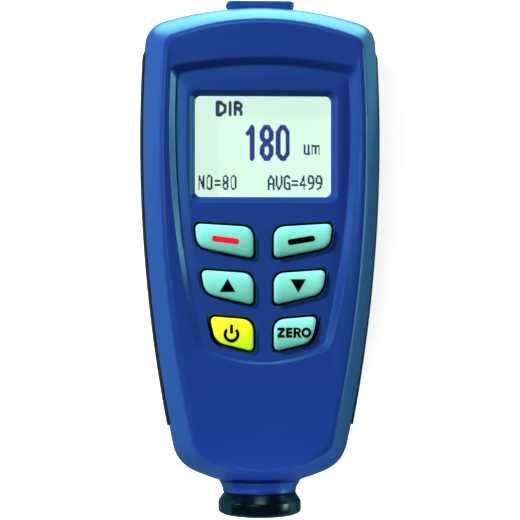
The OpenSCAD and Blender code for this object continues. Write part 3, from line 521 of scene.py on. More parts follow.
DULL = {"Specular IOR Level": 0.1}
ink_blue = mottled("lit dots", (0.012, 0.018, 0.20), (0.022, 0.030, 0.25), 900, DULL)
ink_grey = mottled("faint dots", (0.055, 0.085, 0.28), (0.08, 0.12, 0.32), 900, DULL)
ink_dark = mottled("small dots", (0.012, 0.020, 0.11), (0.02, 0.032, 0.14), 900, DULL)
VALUE_LOW = -11.2
VALUE_TALL = 31.6
MODE_LOW = 32.6
MODE_TALL = 11.8
UNIT_LOW = -6.2
UNIT_TALL = 8.4
LINE_LOW = -41.6
LINE_TALL = 13
LINE_STEP = 8
LINE_PEN = 1.9
value_dots = dots_of("1", -16.1, VALUE_LOW, (8, VALUE_TALL), 0, 4.4)
value_dots |= dots_of("8", -1.0, VALUE_LOW, (9.2, VALUE_TALL), 0, 4.7)
value_dots |= dots_of("0", 15.0, VALUE_LOW, (9.4, VALUE_TALL), 0, 4.5)
dot_sheet("readout_value", value_dots, ink_blue)
mode_dots = dots_of("D", -45.6, MODE_LOW, (7.4, MODE_TALL), 0, 3.4)
mode_dots |= dots_of("I", -33.7, MODE_LOW, (1, MODE_TALL), 0, 3.4)
mode_dots |= dots_of("R", -28.2, MODE_LOW, (5.8, MODE_TALL), 0, 3.2)
dot_sheet("readout_mode", mode_dots, ink_grey)
unit_dots = dots_of("u", 41.2, UNIT_LOW, (5, UNIT_TALL), 0, 2.0)
unit_dots |= dots_of("m", 49.0, UNIT_LOW, (7, UNIT_TALL), 0, 1.8)
dot_sheet("readout_unit", unit_dots, ink_dark)
count_dots = dots_of("NO=80", -64, LINE_LOW, (4.9, LINE_TALL), LINE_STEP, LINE_PEN)
dot_sheet("readout_count", count_dots, ink_dark)
mean_dots = dots_of("AVG=499", 5.2, LINE_LOW, (5, LINE_TALL), LINE_STEP, LINE_PEN)
dot_sheet("readout_mean", mean_dots, ink_dark)

# Keypad mat and keys
# A grey silicone mat lies under six hard satin keys with crowned edges and printed marks.
# The power key is lime yellow, the others sea green, each with painted shade that darkens it toward its lower
# edge.

silicone = mottled("grey silicone", (0.07, 0.08, 0.085), (0.10, 0.11, 0.115), 200, {}, roughness=(0.55, 0.1))
dress("keypad_mat", silicone)
KEY_TOP = 27.0
KEY_TOP_Y = 64.0
KEY_PITCH = 10.15
KEY_HEIGHT = 6.85
KEY_INNER = 2.3
KEY_MARGIN = 3.05
KEY_TOP_TILT = 0.77
KEY_LOW_TILT = (2.5, 2.5, 2.0)
KEY_CORNERS = (1.4, 2.2, 1.6, 2.6)
CORNER_GROWTH = 0.6
CORNER_LEAST = 0.3
RECESS = {"top": 18.9, "low": 13.3, "low_y": 34.5, "top_y": 99.4, "bow": 2.3,
          "low_arch": 3.5, "top_arch": 2.0, "low_corner": 2.0, "top_corner": 1.5}


def side_x(s, shape):
    """Half width of a shield at a share s of its side."""
    return shape["low"] + (shape["top"] - shape["low"]) * s + 4 * shape["bow"] * s * (1 - s)


def half_at(y, shape):
    """Half width of a shield at a place along it."""
    start = shape["low_y"] + shape["low_arch"]
    return side_x((y - start) / (shape["top_y"] - shape["top_arch"] - start), shape)


def key_box(row):
    """The four corners of a key of the right column."""
    top = KEY_TOP_Y - row * KEY_PITCH
    low = top - KEY_HEIGHT
    outer_low = low + KEY_LOW_TILT[row]
    return [(KEY_INNER, low), (half_at(outer_low, RECESS) - KEY_MARGIN, outer_low),
            (half_at(top + KEY_TOP_TILT, RECESS) - KEY_MARGIN, top + KEY_TOP_TILT), (KEY_INNER, top)]


def unit(a, b):
    length = math.dist(a, b)
    return ((b[0] - a[0]) / length, (b[1] - a[1]) / length)


def meet(p, u, q, v):
    """Where the line through p along u meets the line through q along v."""
    t = ((q[0] - p[0]) * v[1] - (q[1] - p[1]) * v[0]) / (u[0] * v[1] - u[1] * v[0])
    return (p[0] + u[0] * t, p[1] + u[1] * t)


def drawn_in(box, d):
    """A box of four corners with each side moved in by d."""
    corners = []
    for i, b in enumerate(box):
        a = box[i - 1]
        c = box[(i + 1) % 4]
        u = unit(a, b)
        v = unit(b, c)
        corners.append(meet((a[0] - u[1] * d, a[1] + u[0] * d), u, (b[0] - v[1] * d, b[1] + v[0] * d), v))
    return corners


def key_ring(row, d, side, steps=8):
    """A key's outline with rounded corners, drawn in by d, on the right (1) or left (-1)."""
    box = drawn_in(key_box(row), d)
    ring = []
    for i, corner in enumerate(box):
        reach = max(KEY_CORNERS[i] - (d if d > 0 else CORNER_GROWTH * d), CORNER_LEAST)
        back = unit(corner, box[i - 1])
        ahead = unit(corner, box[(i + 1) % 4])
        start = (corner[0] + back[0] * reach, corner[1] + back[1] * reach)
        end = (corner[0] + ahead[0] * reach, corner[1] + ahead[1] * reach)
        ring += [bend(start, corner, end, k / steps) for k in range(steps + 1)]
    return [(side * x, y) for x, y in ring]


def lifted(ring, z):
    return [(x, y, z) for x, y in ring]


# How far each ring of a key is drawn in, and how far it lies from the key's face.
KEY_SECTION = ((0, -3.2), (0, -0.66), (0.03, -0.48), (0.10, -0.34), (0.22, -0.24), (0.40, -0.17),
               (0.65, -0.11), (1.0, -0.06), (1.4, -0.03), (1.8, -0.01), (2.0, 0.0))
SHADE_RISE = 2.0


def key_cap(name, row, side):
    """A key from its hidden foot up to its crowned face."""
    rings = [lifted(key_ring(row, d, side), KEY_TOP + down) for d, down in KEY_SECTION]
    made = skin(name, rings)
    smooth(made, 50)
    return made


def painted_shade_key_plastic(name, high, low):
    """A satin key colour with painted shade: it darkens from a lit colour to a shaded one toward the lower
    edge of each row of keys.
    """
    made, shader, place = new_material(
        name, {"Specular Tint": (0.6, 1.0, 0.95, 1), "Specular IOR Level": 0.5})
    along = place.node("ShaderNodeSeparateXYZ", {}, {"Vector": place}, 1)
    row = (along - (KEY_TOP_Y - MIDDLE_Y + SHADE_RISE) * MM) * (-1 / (KEY_PITCH * MM))
    depth = place.node("ShaderNodeMath", {"operation": "FRACT"}, {0: row})
    wander = noise(place, 120, 4) * 0.12 - 0.06
    # Painted shade: the place down the row picks the colour, lit at the key's top and shaded at its lower
    # edge.
    shade = place.node("ShaderNodeValToRGB", {"stops": [(0.2, high), (0.86, low)]}, {"Fac": depth + wander})
    feed(shader, "Base Color", shade)
    feed(shader, "Roughness", noise(place, 700) * 0.1 + 0.34)
    grain(shader, place, 5000, 0.1, 0.00002)
    return made


sea_green = painted_shade_key_plastic("sea green key", (0.225, 0.77, 0.64), (0.070, 0.34, 0.250))
lime_yellow = painted_shade_key_plastic("lime yellow key", (0.96, 0.92, 0.014), (0.38, 0.86, 0.003))
KEYS = (("key_left_soft", 0, -1, sea_green, "key_teal"), ("key_right_soft", 0, 1, sea_green, "key_teal"),
        ("key_up", 1, -1, sea_green, "key_teal"), ("key_down", 1, 1, sea_green, "key_teal"),
        ("key_power", 2, -1, lime_yellow, "key_yellow"), ("key_zero", 2, 1, sea_green, "key_teal"))
for node, row, side, colour, slot in KEYS:
    settle(key_cap(node + "_cap", row, side), colour, slot, node, node)

print_red = mottled(
    "red print", (0.84, 0.004, 0.020), (0.94, 0.008, 0.030), 600, {"Specular IOR Level": 0.15})
print_black = mottled(
    "black print", (0.0004, 0.0006, 0.0006), (0.001, 0.0014, 0.0014), 600, {"Specular IOR Level": 0.0})
PRINT_HEIGHT = 0.03
PRINT_DEPTH = 0.02


def joined(parts):
    """Joins parts into the first of them."""
    bpy.ops.object.select_all(action="DESELECT")
    for part in parts:
        part.select_set(True)
    bpy.context.view_layer.objects.active = parts[0]
    if len(parts) > 1:
        bpy.ops.object.join()
    return parts[0]


def mark(name, outlines, material, body, slot):
    """A printed mark on a key: each outline becomes a thin film, and the films are joined."""
    films = []
    for outline in outlines:
        heights = (KEY_TOP - PRINT_DEPTH, KEY_TOP + PRINT_HEIGHT)
        films.append(skin(name, [lifted(outline, z) for z in heights]))
    settle(joined(films), material, slot, body)


def on_circle(centre, radius, angle):
    return (centre[0] + radius * math.cos(angle), centre[1] + radius * math.sin(angle))


def bar(centre, length, width, tilt, steps=8):
    """A rounded bar, tilted about its centre."""
    points = []
    for end, start_angle in ((1, -90), (-1, 90)):
        for k in range(steps + 1):
            angle = math.radians(start_angle + 180 * k / steps)
            points.append(on_circle((end * (length - width) / 2, 0), width / 2, angle))
    c = math.cos(math.radians(tilt))
    s = math.sin(math.radians(tilt))
    return [(centre[0] + x * c - y * s, centre[1] + x * s + y * c) for x, y in points]


def triangle(centre, half, height):
    x, y = centre
    return [(x - half, y - height / 2), (x + half, y - height / 2), (x, y + height / 2)]


def arc_strip(centre, radius, width, start, end, steps=40):
    """An open ring as a closed strip."""
    angles = [math.radians(start + (end - start) * k / steps) for k in range(steps + 1)]
    outer = [on_circle(centre, radius + width / 2, a) for a in angles]
    inner = [on_circle(centre, radius - width / 2, a) for a in reversed(angles)]
    return outer + inner


BAR_LENGTH = 6.1
BAR_WIDTH = 1.35
ARROW_HALF = 1.72
ARROW_HEIGHT = 2.9
POWER_CENTRE = (-7.1, 40.6)
POWER_RADIUS = 1.4
POWER_STROKE = 0.7
POWER_ARC = (130, 410)
POWER_BAR = 2.1
POWER_BAR_RISE = 1.15
mark("red_bar", [bar((-8.4, 61.15), BAR_LENGTH, BAR_WIDTH, -8)], print_red, "key_left_soft", "key_teal")
mark("black_bar", [bar((8.2, 61.1), BAR_LENGTH, BAR_WIDTH, 9)], print_black, "key_right_soft", "key_teal")
mark("up_arrow", [triangle((-7.95, 51.3), ARROW_HALF, ARROW_HEIGHT)], print_black, "key_up", "key_teal")
mark("down_arrow", [triangle((7.5, 51.15), ARROW_HALF, -ARROW_HEIGHT)], print_black, "key_down", "key_teal")
power_ring = arc_strip(POWER_CENTRE, POWER_RADIUS, POWER_STROKE, *POWER_ARC)
power_bar = bar((POWER_CENTRE[0], POWER_CENTRE[1] + POWER_BAR_RISE), POWER_BAR, POWER_STROKE, 90)
mark("power_sign", [power_ring, power_bar], print_black, "key_power", "key_yellow")

LETTER = 2.2
STROKE = 0.58
Z_WIDTH = 1.6
Z_SLANT = 0.68
Z_STEP = 1.88
E_WIDTH = 1.36
E_STEP = 1.62
BOWL_RUN = 0.95
BOWL_LOW = 0.85
BOWL_STROKE = 0.46
BOWL_STEPS = 5
R_LEG = ((0.7, 0.9), (1.15, 0), (1.78, 0), (1.25, 0.95))
O_STEP = 2.8
O_RADIUS = 0.82
O_STEPS = 9


def slab(left, low, width, height):
    return [(left, low), (left + width, low), (left + width, low + height), (left, low + height)]


def zero_word(left, low):
    """The word on the zero key, in plain upright strokes."""
    top = low + LETTER - STROKE
    middle = (low + top) / 2
    z_end = left + Z_WIDTH
    e_left = left + Z_STEP
    r_left = e_left + E_STEP
    bowl_half = (LETTER - BOWL_LOW) / 2
    bowl_middle = (r_left + BOWL_RUN, low + LETTER - bowl_half)
    o_middle = (r_left + O_STEP, low + LETTER / 2)
    letters = [slab(left, y, Z_WIDTH, STROKE) for y in (low, top)]
    letters += [[(left, low + STROKE), (left + Z_SLANT, low + STROKE), (z_end, top), (z_end - Z_SLANT, top)]]
    letters += [slab(e_left, low, STROKE, LETTER)]
    letters += [slab(e_left, y, E_WIDTH, STROKE) for y in (low, middle, top)]
    letters += [slab(r_left, low, STROKE, LETTER)]
    letters += [slab(r_left, low + y, BOWL_RUN, BOWL_STROKE) for y in (BOWL_LOW, LETTER - BOWL_STROKE)]
    letters += [arc_strip(bowl_middle, bowl_half - BOWL_STROKE / 2, BOWL_STROKE, -90, 90, BOWL_STEPS)]
    letters += [[(r_left + x, low + y) for x, y in R_LEG]]
    return letters + [arc_strip(o_middle, O_RADIUS, STROKE, a, a + 180, O_STEPS) for a in (0, 180)]


mark("zero_lettering", zero_word(2.95, 39.85), print_black, "key_zero", "key_teal")

# Front housing
# The front shell, moulded in the same blue plastic and held by the screws from the back.
# It is a tapered shield with a rounded ridge, a sunk face and a flared neck: a skin of rings from the ceiling
# round the rim to the sunk face, which is then filled round its openings.

CASE_SHAPE = {"top": 25.5, "low": 18.7, "low_y": 6.2, "top_y": 113.1, "bow": 3.5,
              "low_arch": 5.3, "top_arch": 4.4, "low_corner": 4.1, "top_corner": 3.8}
LOW_CORNER_FALL = 0.6
LOW_CORNER_LEAST = 2.0
TOP_CORNER_FALL = 0.45
TOP_CORNER_LEAST = 1.4
RECESS_LOW_SHARE = 0.4
RECESS_TOP_SHARE = 1.15
FLOOR_Z = 25.8
CEILING_Z = 24.0
PARTING = 13.1
EDGE_RUN = 4.4
EDGE_RISE = 8.0
DRAFT = 0.25
THICKNESS = 27.0
FACE_DROP = 2.0
CROWN_Y = 77.4
LOW_ROLL = 1.6
ROLL_Y = 22.0
ROLL_RUN = 14.0
RIDGE_DIP = 0.15
FLOOR_CROWN = 0.3
FLOOR_CROWN_Y = 48.0
FLOOR_CROWN_RUN = 26.0
FLOOR_SHOULDER = 2.3
SHOULDER_POWER = 1.2
WALL = 1.8
WALL_RUN = 1.5
BRIM_ROUND = 0.35
LOW_STEPS = 14
CORNER_STEPS = 9
SIDE_STEPS = 34
TOP_STEPS = 18


def shield(shape):
    """A closed ring: arched low end, rounded corners, bowed sides and arched top."""
    w = shape
    side = w["top_y"] - w["top_arch"] - w["low_y"] - w["low_arch"]

    def low_edge(s):
        return (w["low"] * s, w["low_y"] + w["low_arch"] * s * s)

    def side_edge(s):
        return (side_x(s, w), w["low_y"] + w["low_arch"] + side * s)

    def top_edge(s):
        return (w["top"] * (1 - s), w["top_y"] - w["top_arch"] * (1 - s) ** 2)

    a = 1 - w["low_corner"] / w["low"]
    b = w["low_corner"] / side
    c = 1 - w["top_corner"] / side
    d = w["top_corner"] / w["top"]
    lean = w["top"] - w["low"]
    low_turn = meet(low_edge(a), (w["low"], 2 * w["low_arch"] * a),
                    side_edge(b), (lean + 4 * w["bow"] * (1 - 2 * b), side))
    top_turn = meet(side_edge(c), (lean + 4 * w["bow"] * (1 - 2 * c), side),
                    top_edge(d), (-w["top"], 2 * w["top_arch"] * (1 - d)))
    half = [low_edge(a * i / LOW_STEPS) for i in range(LOW_STEPS)]
    half += [bend(low_edge(a), low_turn, side_edge(b), i / CORNER_STEPS) for i in range(CORNER_STEPS)]
    half += [side_edge(b + (c - b) * i / SIDE_STEPS) for i in range(SIDE_STEPS)]
    half += [bend(side_edge(c), top_turn, top_edge(d), i / CORNER_STEPS) for i in range(CORNER_STEPS)]
    half += [top_edge(d + (1 - d) * i / TOP_STEPS) for i in range(TOP_STEPS + 1)]
    return half + [(-x, y) for x, y in half[-2:0:-1]]


def case_shield(d):
    """The case outline drawn in by d."""
    w = CASE_SHAPE
    return shield({
        **w, "top": w["top"] - d, "low": w["low"] - d, "low_y": w["low_y"] + d, "top_y": w["top_y"] - d,
        "low_corner": max(w["low_corner"] - LOW_CORNER_FALL * d, LOW_CORNER_LEAST),
        "top_corner": max(w["top_corner"] - TOP_CORNER_FALL * d, TOP_CORNER_LEAST)})


def recess_shield(d):
    """The edge of the sunk face let out by d."""
    w = RECESS
    return shield({
        **w, "top": w["top"] + d, "low": w["low"] + d, "low_y": w["low_y"] - RECESS_LOW_SHARE * d,
        "top_y": w["top_y"] + RECESS_TOP_SHARE * d})


def front_z(y):
    """Height of the ridge, which rolls off toward the low end."""
    roll = LOW_ROLL * (max(ROLL_Y - y, 0) / ROLL_RUN) ** 2
    return THICKNESS - FACE_DROP * ((y - CROWN_Y) / (CROWN_Y - CASE_SHAPE["low_y"])) ** 2 - roll


def crowned(ring, down):
    """A ring that follows the ridge's height."""
    return [(x, y, front_z(y) - down) for x, y in ring]


def sunk(ring, share):
    """A ring of the sunk face, which falls a little toward its edge beside the display."""
    lowered = []
    for x, y in ring:
        fall = FLOOR_CROWN * share * min(max((y - FLOOR_CROWN_Y) / FLOOR_CROWN_RUN, 0), 1)
        lowered.append((x, y, FLOOR_Z - fall))
    return lowered


def between(first, second, t):
    return [mix(a, b, t) for a, b in zip(first, second)]


def cornered(first, corner, last, t):
    return [bend(a, b, c, t) for a, b, c in zip(first, corner, last)]


# The inside, from the ceiling down to the parting line.
CEILING_MARGIN = 0.8
INNER_TURNS = ((4.0, 2.8), (1.6, 4.8))
INNER_FOOT = (0.3, 3.4)
PARTING_CHAMFER = 0.2
PARTING_LIP = 0.02
front_rings = [lifted(recess_shield(CEILING_MARGIN), CEILING_Z)]
front_rings += [crowned(case_shield(WALL + inward), down) for inward, down in INNER_TURNS]
front_rings += [
    lifted(case_shield(WALL + INNER_FOOT[0]), PARTING + INNER_FOOT[1]),
    lifted(case_shield(WALL), PARTING),
    lifted(case_shield(PARTING_CHAMFER), PARTING),
    lifted(case_shield(PARTING_LIP), PARTING + PARTING_CHAMFER),
]


def edge_ring(run_share, rise_share):
    """A ring of the rounded shoulder, by its shares of the shoulder's run and rise."""
    return crowned(case_shield(DRAFT + run_share * EDGE_RUN), rise_share * EDGE_RISE)


# The outside, up over the shoulder and the ridge, then down the wall of the sunk face.
EDGE_FOOT = (0, 1)
EDGE_SWELL = (0.175, 0.6)
EDGE_BROW = (0.7, 0.1)
EDGE_TURN = (0.805, 0)
EDGE_RIDGE = (1, 0)
EDGE_STEPS = 8
edge_path = [bend(EDGE_FOOT, EDGE_SWELL, EDGE_BROW, k / EDGE_STEPS) for k in range(EDGE_STEPS)]
edge_path += [bend(EDGE_BROW, EDGE_TURN, EDGE_RIDGE, k / EDGE_STEPS) for k in range(EDGE_STEPS + 1)]
front_rings += [edge_ring(*shares) for shares in edge_path]
PLATEAU_STEPS = 8
ridge = case_shield(DRAFT + EDGE_RUN)
brim = recess_shield(WALL_RUN + BRIM_ROUND)
for k in range(1, PLATEAU_STEPS):
    t = k / PLATEAU_STEPS
    front_rings.append(crowned(between(ridge, brim, t), RIDGE_DIP * t * t))
WALL_ROUND = 0.14
WALL_STEPS = 6
FLOOR_START_SHARE = 0.85
brim_start = crowned(brim, RIDGE_DIP)
brim_edge = crowned(recess_shield(WALL_RUN), RIDGE_DIP)
floor_edge = sunk(recess_shield(0), 1)
floor_start = sunk(recess_shield(-BRIM_ROUND), FLOOR_START_SHARE)
wall_high = between(brim_edge, floor_edge, WALL_ROUND)
wall_low = between(brim_edge, floor_edge, 1 - WALL_ROUND)
wall_turns = [k / WALL_STEPS for k in range(WALL_STEPS + 1)]
front_rings += [cornered(brim_start, brim_edge, wall_high, t) for t in wall_turns]
front_rings += [between(wall_high, wall_low, t) for t in (0.1, 0.5, 0.9)]
front_rings += [cornered(wall_low, floor_edge, floor_start, t) for t in wall_turns]
for t in (0.4, 0.65, 0.85, 0.97):
    front_rings.append(sunk(recess_shield(-FLOOR_SHOULDER * t), (1 - t) ** SHOULDER_POWER))
front_rings += [lifted(recess_shield(-FLOOR_SHOULDER * t), FLOOR_Z) for t in (1, 1.02)]
front = skin("front_shell", front_rings, (False, False))


def rounded_box(width, height, centre, radius, steps=8):
    """A rectangle with round corners."""
    ring = []
    for i, (sx, sy) in enumerate(((1, -1), (1, 1), (-1, 1), (-1, -1))):
        corner = (centre[0] + sx * (width / 2 - radius), centre[1] + sy * (height / 2 - radius))
        for k in range(steps + 1):
            ring.append(on_circle(corner, radius, math.radians(-90 + 90 * i + 90 * k / steps)))
    return ring


WINDOW = (29.9, 22.1)
WINDOW_CORNER = 1.3
BEVEL = 1.15
BEVEL_CORNER_SHARE = 0.5
KEY_GAP = 0.5
# Each lip as rings: how far past the opening, and how high.
WINDOW_LIP = ((BEVEL + 0.3, FLOOR_Z), (BEVEL + 0.1, FLOOR_Z), (BEVEL, FLOOR_Z - 0.04),
              (BEVEL - 0.1, FLOOR_Z - 0.14), (0.12, CEILING_Z + 0.72), (0.03, CEILING_Z + 0.62),
              (0, CEILING_Z + 0.5), (0, CEILING_Z))
KEY_LIP = ((0.4, FLOOR_Z), (0.2, FLOOR_Z), (0.08, FLOOR_Z - 0.07), (0, FLOOR_Z - 0.25), (0, CEILING_Z))


def window_ring(grow, z):
    """The window's outline, let out by grow."""
    corner = WINDOW_CORNER + BEVEL_CORNER_SHARE * grow
    return lifted(rounded_box(WINDOW[0] + 2 * grow, WINDOW[1] + 2 * grow, LCD_CENTRE, corner), z)


openings = [skin("window_lip", [window_ring(grow, z) for grow, z in WINDOW_LIP], (False, False))]
for node, row, side, *_ in KEYS:
    lip = [lifted(key_ring(row, -KEY_GAP - grow, side), z) for grow, z in KEY_LIP]
    openings.append(skin(node + "_lip", lip, (False, False)))
joined([front] + openings)


def fill_level(made, z):
    """Fills the flat face at one height, leaving its openings open."""
    select_only(made)
    bpy.ops.object.mode_set(mode="EDIT")
    bpy.ops.mesh.select_mode(type="EDGE")
    bpy.ops.mesh.select_all(action="DESELECT")
    bpy.ops.mesh.select_non_manifold(extend=False, use_boundary=True, use_wire=False, use_multi_face=False,
                                     use_non_contiguous=False, use_verts=False)
    bpy.ops.object.mode_set(mode="OBJECT")
    points = made.data.vertices
    for edge in made.data.edges:
        level = all(abs(points[index].co.z - z * MM) < 1e-6 for index in edge.vertices)
        edge.select = edge.select and level
    bpy.ops.object.mode_set(mode="EDIT")
    bpy.ops.mesh.fill(use_beauty=True)
    bpy.ops.object.mode_set(mode="OBJECT")


fill_level(front, FLOOR_Z)
fill_level(front, CEILING_Z)
turn_outward(front)

NECK_RADIUS = 8.2
NECK_HEIGHT = 15.0
NECK_LOW_Y = 4.85
NECK_LENGTH = 5.8
NECK_ROUND = 0.15
NECK_EASE = 0.04
NECK_FLARE = 1.6
FLARE_RUN = 3.4
FLARE_LEAN = 0.4
FLARE_STEPS = 16
NECK_FOLD = 0.8
FOLD_Y = 7.5


def oval(half_width, y, count=96):
    """An oval section of the neck, lower where the shell's end folds onto it."""
    steps = [math.tau * i / count for i in range(count)]
    half_height = NECK_HEIGHT / 2 - (NECK_FOLD if y > FOLD_Y else 0)
    return [(half_width * math.sin(a), y, AXIS_Z + half_height * math.cos(a)) for a in steps]


flare_start = (NECK_RADIUS, NECK_LOW_Y + NECK_ROUND)
flare_turn = (NECK_RADIUS, NECK_LOW_Y + FLARE_RUN * FLARE_LEAN)
flare_end = (NECK_RADIUS + NECK_FLARE, NECK_LOW_Y + FLARE_RUN)
neck_path = [(NECK_RADIUS - NECK_ROUND, NECK_LOW_Y), (NECK_RADIUS - NECK_EASE, NECK_LOW_Y + NECK_EASE)]
neck_path += [bend(flare_start, flare_turn, flare_end, k / FLARE_STEPS) for k in range(FLARE_STEPS + 1)]
neck_path += [(NECK_RADIUS + NECK_FLARE, NECK_LOW_Y + NECK_LENGTH)]
neck = skin("neck", [oval(r, y) for r, y in neck_path])
on_whole_mesh(neck, bpy.ops.mesh.bisect, plane_co=(0, 0, PARTING * MM), plane_no=(0, 0, 1), clear_inner=True,
              use_fill=True)
turn_outward(neck)
carve(front, neck, "UNION")
SLEEVE_BORE = 6.46
BORE_LENGTH = 31
carve(front, skin("bore", [turned_ring(SLEEVE_BORE, y) for y in (0, BORE_LENGTH)]), "DIFFERENCE")


def end_ring(width, height, radius, y):
    """A rounded rectangle about the port, facing the top end."""
    return [(x, y, AXIS_Z + z) for x, z in rounded_box(width, height, (0, 0), radius)]


PORT = (9.9, 5.5)
PORT_CORNER = 1.2
PORT_LOW_Y = 108
COVER = (15.1, 8.4)
COVER_CORNER = 1.5
COVER_LOW_Y = 112.5
COVER_PLAY = 0.24
CUT_END_Y = 118
seat = (COVER[0] + COVER_PLAY, COVER[1] + COVER_PLAY)
port_cut = skin("port_cut", [end_ring(*PORT, PORT_CORNER, y) for y in (PORT_LOW_Y, CUT_END_Y)])
carve(front, port_cut, "DIFFERENCE")
seat_cut = skin("seat_cut", [end_ring(*seat, COVER_CORNER, y) for y in (COVER_LOW_Y, CUT_END_Y)])
carve(front, seat_cut, "DIFFERENCE")
smooth(front, 40)
settle(front, blue_plastic, "blue_plastic", CASE, "front_housing")

# Side grips
# Soft black rubber strips pressed into a pocket along each side, over the parting line.
# Their outer face is crowned and their ends are chamfered.

rubber = mottled(
    "grip rubber", (0.006, 0.006, 0.007), (0.011, 0.011, 0.012), 200, {"Specular IOR Level": 0.3},
    roughness=(0.55, 0.15), bump=(3500, 0.25, 0.00004))
GRIP_LOW_Y = 18.3
GRIP_TOP_Y = 105.7
GRIP_BASE = 5.0
GRIP_TOP = 17.5
GRIP_DEPTH = 0.8
GRIP_END = 1.6
GRIP_STEPS = 48


def grip_ring(proud, short, side, z):
    """A strip along the case side at one height."""
    low = GRIP_LOW_Y + short
    top = GRIP_TOP_Y - short
    ring = []
    for i in range(GRIP_STEPS + 1):
        y = low + (top - low) * i / GRIP_STEPS
        ring.append((side * (half_at(y, CASE_SHAPE) - GRIP_DEPTH), y, z))
    for i in range(GRIP_STEPS, -1, -1):
        y = low + GRIP_END + (top - low - 2 * GRIP_END) * i / GRIP_STEPS
        ring.append((side * (half_at(y, CASE_SHAPE) + proud), y, z))
    return ring


# How far each ring stands proud of the case, how much shorter it is, and how far in from the strip's edge.
GRIP_SECTION = ((0.02, 0.6, 0), (0.14, 0.42, 0.18), (0.26, 0.2, 0.55), (0.34, 0.06, 1.1), (0.4, 0, 2.0))
for node, side in (("left_side_grip", -1), ("right_side_grip", 1)):
    levels = [(proud, short, GRIP_BASE + rise) for proud, short, rise in GRIP_SECTION]
    levels += [(proud, short, GRIP_TOP - rise) for proud, short, rise in reversed(GRIP_SECTION)]
    grip = skin(node + "_strip", [grip_ring(proud, short, side, z) for proud, short, z in levels])
    smooth(grip, 40)
    settle(grip, rubber, "grip_rubber", CASE, node)

# Port cover
# A dark blue rubber plug with a rounded head and a lip at one end to pull it by.
# Its stem fits the port in the parting line.

cover_rubber = mottled(
    "cover rubber", (0.008, 0.032, 0.19), (0.010, 0.044, 0.24), 150,
    {"Specular Tint": (0.3, 0.8, 1.0, 1)}, roughness=(0.42, 0.12), bump=(4000, 0.15, 0.00003))
STEM = (9.66, 5.26)
STEM_CORNER = 1.1
STEM_Y = (111.1, 112.55)
# How much narrower and flatter each ring of the head is, its corner, its place and its slide to the pull lip.
HEAD_RINGS = (
    (0.9, 0.2, 1.4, 112.55, 0.2), (0.7, 0, 1.5, 112.75, 0.2), (0.5, 0, 1.5, 113.5, 0.2),
    (0.1, 0, 1.5, 113.9, 0.03), (0, 0, 1.5, 114.2, 0), (0.2, 0.2, 1.4, 114.5, 0),
    (0.8, 0.8, 1.2, 114.68, 0), (2, 2, 0.8, 114.7, 0))
cover_rings = [end_ring(*STEM, STEM_CORNER, y) for y in STEM_Y]
for narrower, flatter, corner, station, slide in HEAD_RINGS:
    ring = end_ring(COVER[0] - narrower, COVER[1] - flatter, corner, station)
    cover_rings.append([(x + slide, y, z) for x, y, z in ring])
cover = skin("port_cover_plug", cover_rings)
smooth(cover, 45)
settle(cover, cover_rubber, "cover_rubber", "port_cover", "data_port_cover")

# Stage
# A plain pale floor that the gauge lies on. Mirror rays see it in painted reflection colours: a cool tint
# that paints cyan sheen on the gauge, and painted shade near the case.
# One small light from the upper left draws the shadows, and larger ones fill them and make the sheen.

FLOOR_SIZE = 6
FLOOR_DROP = 0.0001
FADE_START = 0.027
FADE_RATE = 30.0
bpy.ops.object.select_all(action="DESELECT")
bpy.ops.mesh.primitive_plane_add(size=FLOOR_SIZE, location=(0, 0, -FLOOR_DROP))
floor = bpy.context.object
floor.name = "floor"
floor_pale, floor_shader, floor_place = new_material(
    "pale floor", {"Roughness": 0.9, "Specular IOR Level": 0.0, "Emission Strength": 0.66})
mirror_rays = Wire(floor_shader.id_data.nodes.new("ShaderNodeLightPath").outputs["Is Glossy Ray"])
eye_rays = Wire(mirror_rays.socket.node.outputs["Is Camera Ray"])
floor_x = floor_place.node("ShaderNodeSeparateXYZ", {}, {"Vector": floor_place})
aside = floor_place.node("ShaderNodeMath", {"operation": "ABSOLUTE"}, {0: floor_x})
away = floor_place.node(
    "ShaderNodeMath", {"operation": "MULTIPLY", "use_clamp": True}, {0: aside - FADE_START, 1: FADE_RATE})
# Painted reflection: the far floor is darker on the left, where the lamps light it, than on the right, where
# the case shades it.
left_side = floor_x.sum_with("LESS_THAN", floor_x, 0.0)
far_painted_reflection = mixed(floor_place, left_side, (0.28, 0.92, 1.0), (0.14, 0.46, 0.62))
painted_reflection_colour = mixed(floor_place, away, (0.05, 0.167, 0.183), far_painted_reflection)
feed(floor_shader, "Base Color", mixed(floor_place, mirror_rays, (0.91, 0.91, 0.91), painted_reflection_colour))
feed(floor_shader, "Emission Color", eye_rays)
floor.data.materials.append(floor_pale)


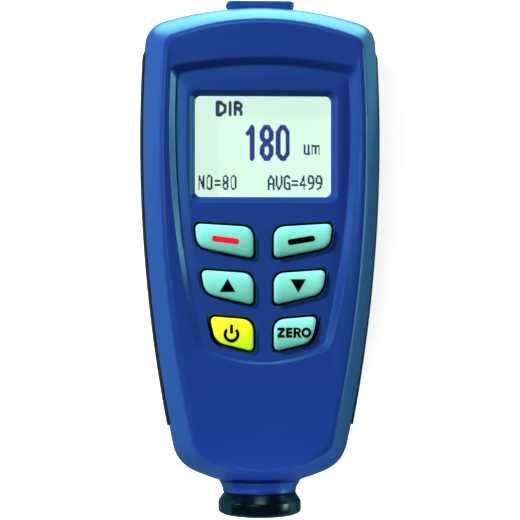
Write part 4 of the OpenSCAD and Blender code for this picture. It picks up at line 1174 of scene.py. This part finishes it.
def softbox(name, place, target, size, power, colour=(1, 1, 1), glossy=True):
    """A rectangular area light turned to its target. One that is not glossy makes no highlight."""
    bpy.ops.object.light_add(type="AREA", location=place)
    made = bpy.context.object
    made.name = name
    made.data.shape = "RECTANGLE"
    made.data.size = size[0]
    made.data.size_y = size[1]
    made.data.energy = power
    made.data.color = colour
    made.visible_glossy = glossy
    made.rotation_euler = (Vector(target) - Vector(place)).to_track_quat("-Z", "Y").to_euler()


softbox("key light", (-1.0, 0.30, 0.40), (0, 0, 0), (0.40, 0.18), 1.0)
softbox("small light", (-0.67, 0.58, 0.44), (0, 0, 0), (0.06, 0.06), 19.5, glossy=False)
softbox("overhead light", (-0.36, 0.10, 1.1), (0, 0, 0), (0.23, 0.39), 1.2)
softbox("fill light", (0.85, 0.0, 0.26), (0, 0, 0), (0.46, 0.19), 3.2)
softbox("low light", (0, -0.080, 0.045), (0, -0.05, 0.02), (0.03, 0.012), 0.03, (0.8, 0.9, 1.0), glossy=False)
softbox("top light", (0, 0.62, 0.55), (0, -0.02, 0.02), (0.31, 0.31), 1.2)
softbox("top card", (0, 0.085, 0.002), (0, 0.085, 1), (0.09, 0.036), 0.06, (0.4, 1.0, 0.95))
AMBIENT = 0.05
world = bpy.data.worlds.new("studio")
bpy.context.scene.world = world
world.use_nodes = True
backdrop = world.node_tree.nodes["Background"]
rays = Wire(world.node_tree.nodes.new("ShaderNodeLightPath").outputs["Is Camera Ray"])
shine = Wire(rays.socket.node.outputs["Is Glossy Ray"])
feed(backdrop, "Color", mixed(shine, shine, (1, 1, 1), (0.25, 0.84, 0.96)))
feed(backdrop, "Strength", rays * (1 - AMBIENT) + AMBIENT)

CAMERA_PLACE = (-0.031, 0.00005, 0.463)
CAMERA_TURN = math.atan2(-0.0311, 0.45)
VIEW_HALF = 0.0585
VIEW_DISTANCE = 0.451
bpy.ops.object.camera_add(location=CAMERA_PLACE, rotation=(0, CAMERA_TURN, 0))
camera = bpy.context.object
camera.data.angle = 2 * math.atan(VIEW_HALF / VIEW_DISTANCE)
bpy.context.scene.camera = camera
bpy.context.scene.view_settings.view_transform = "Standard"
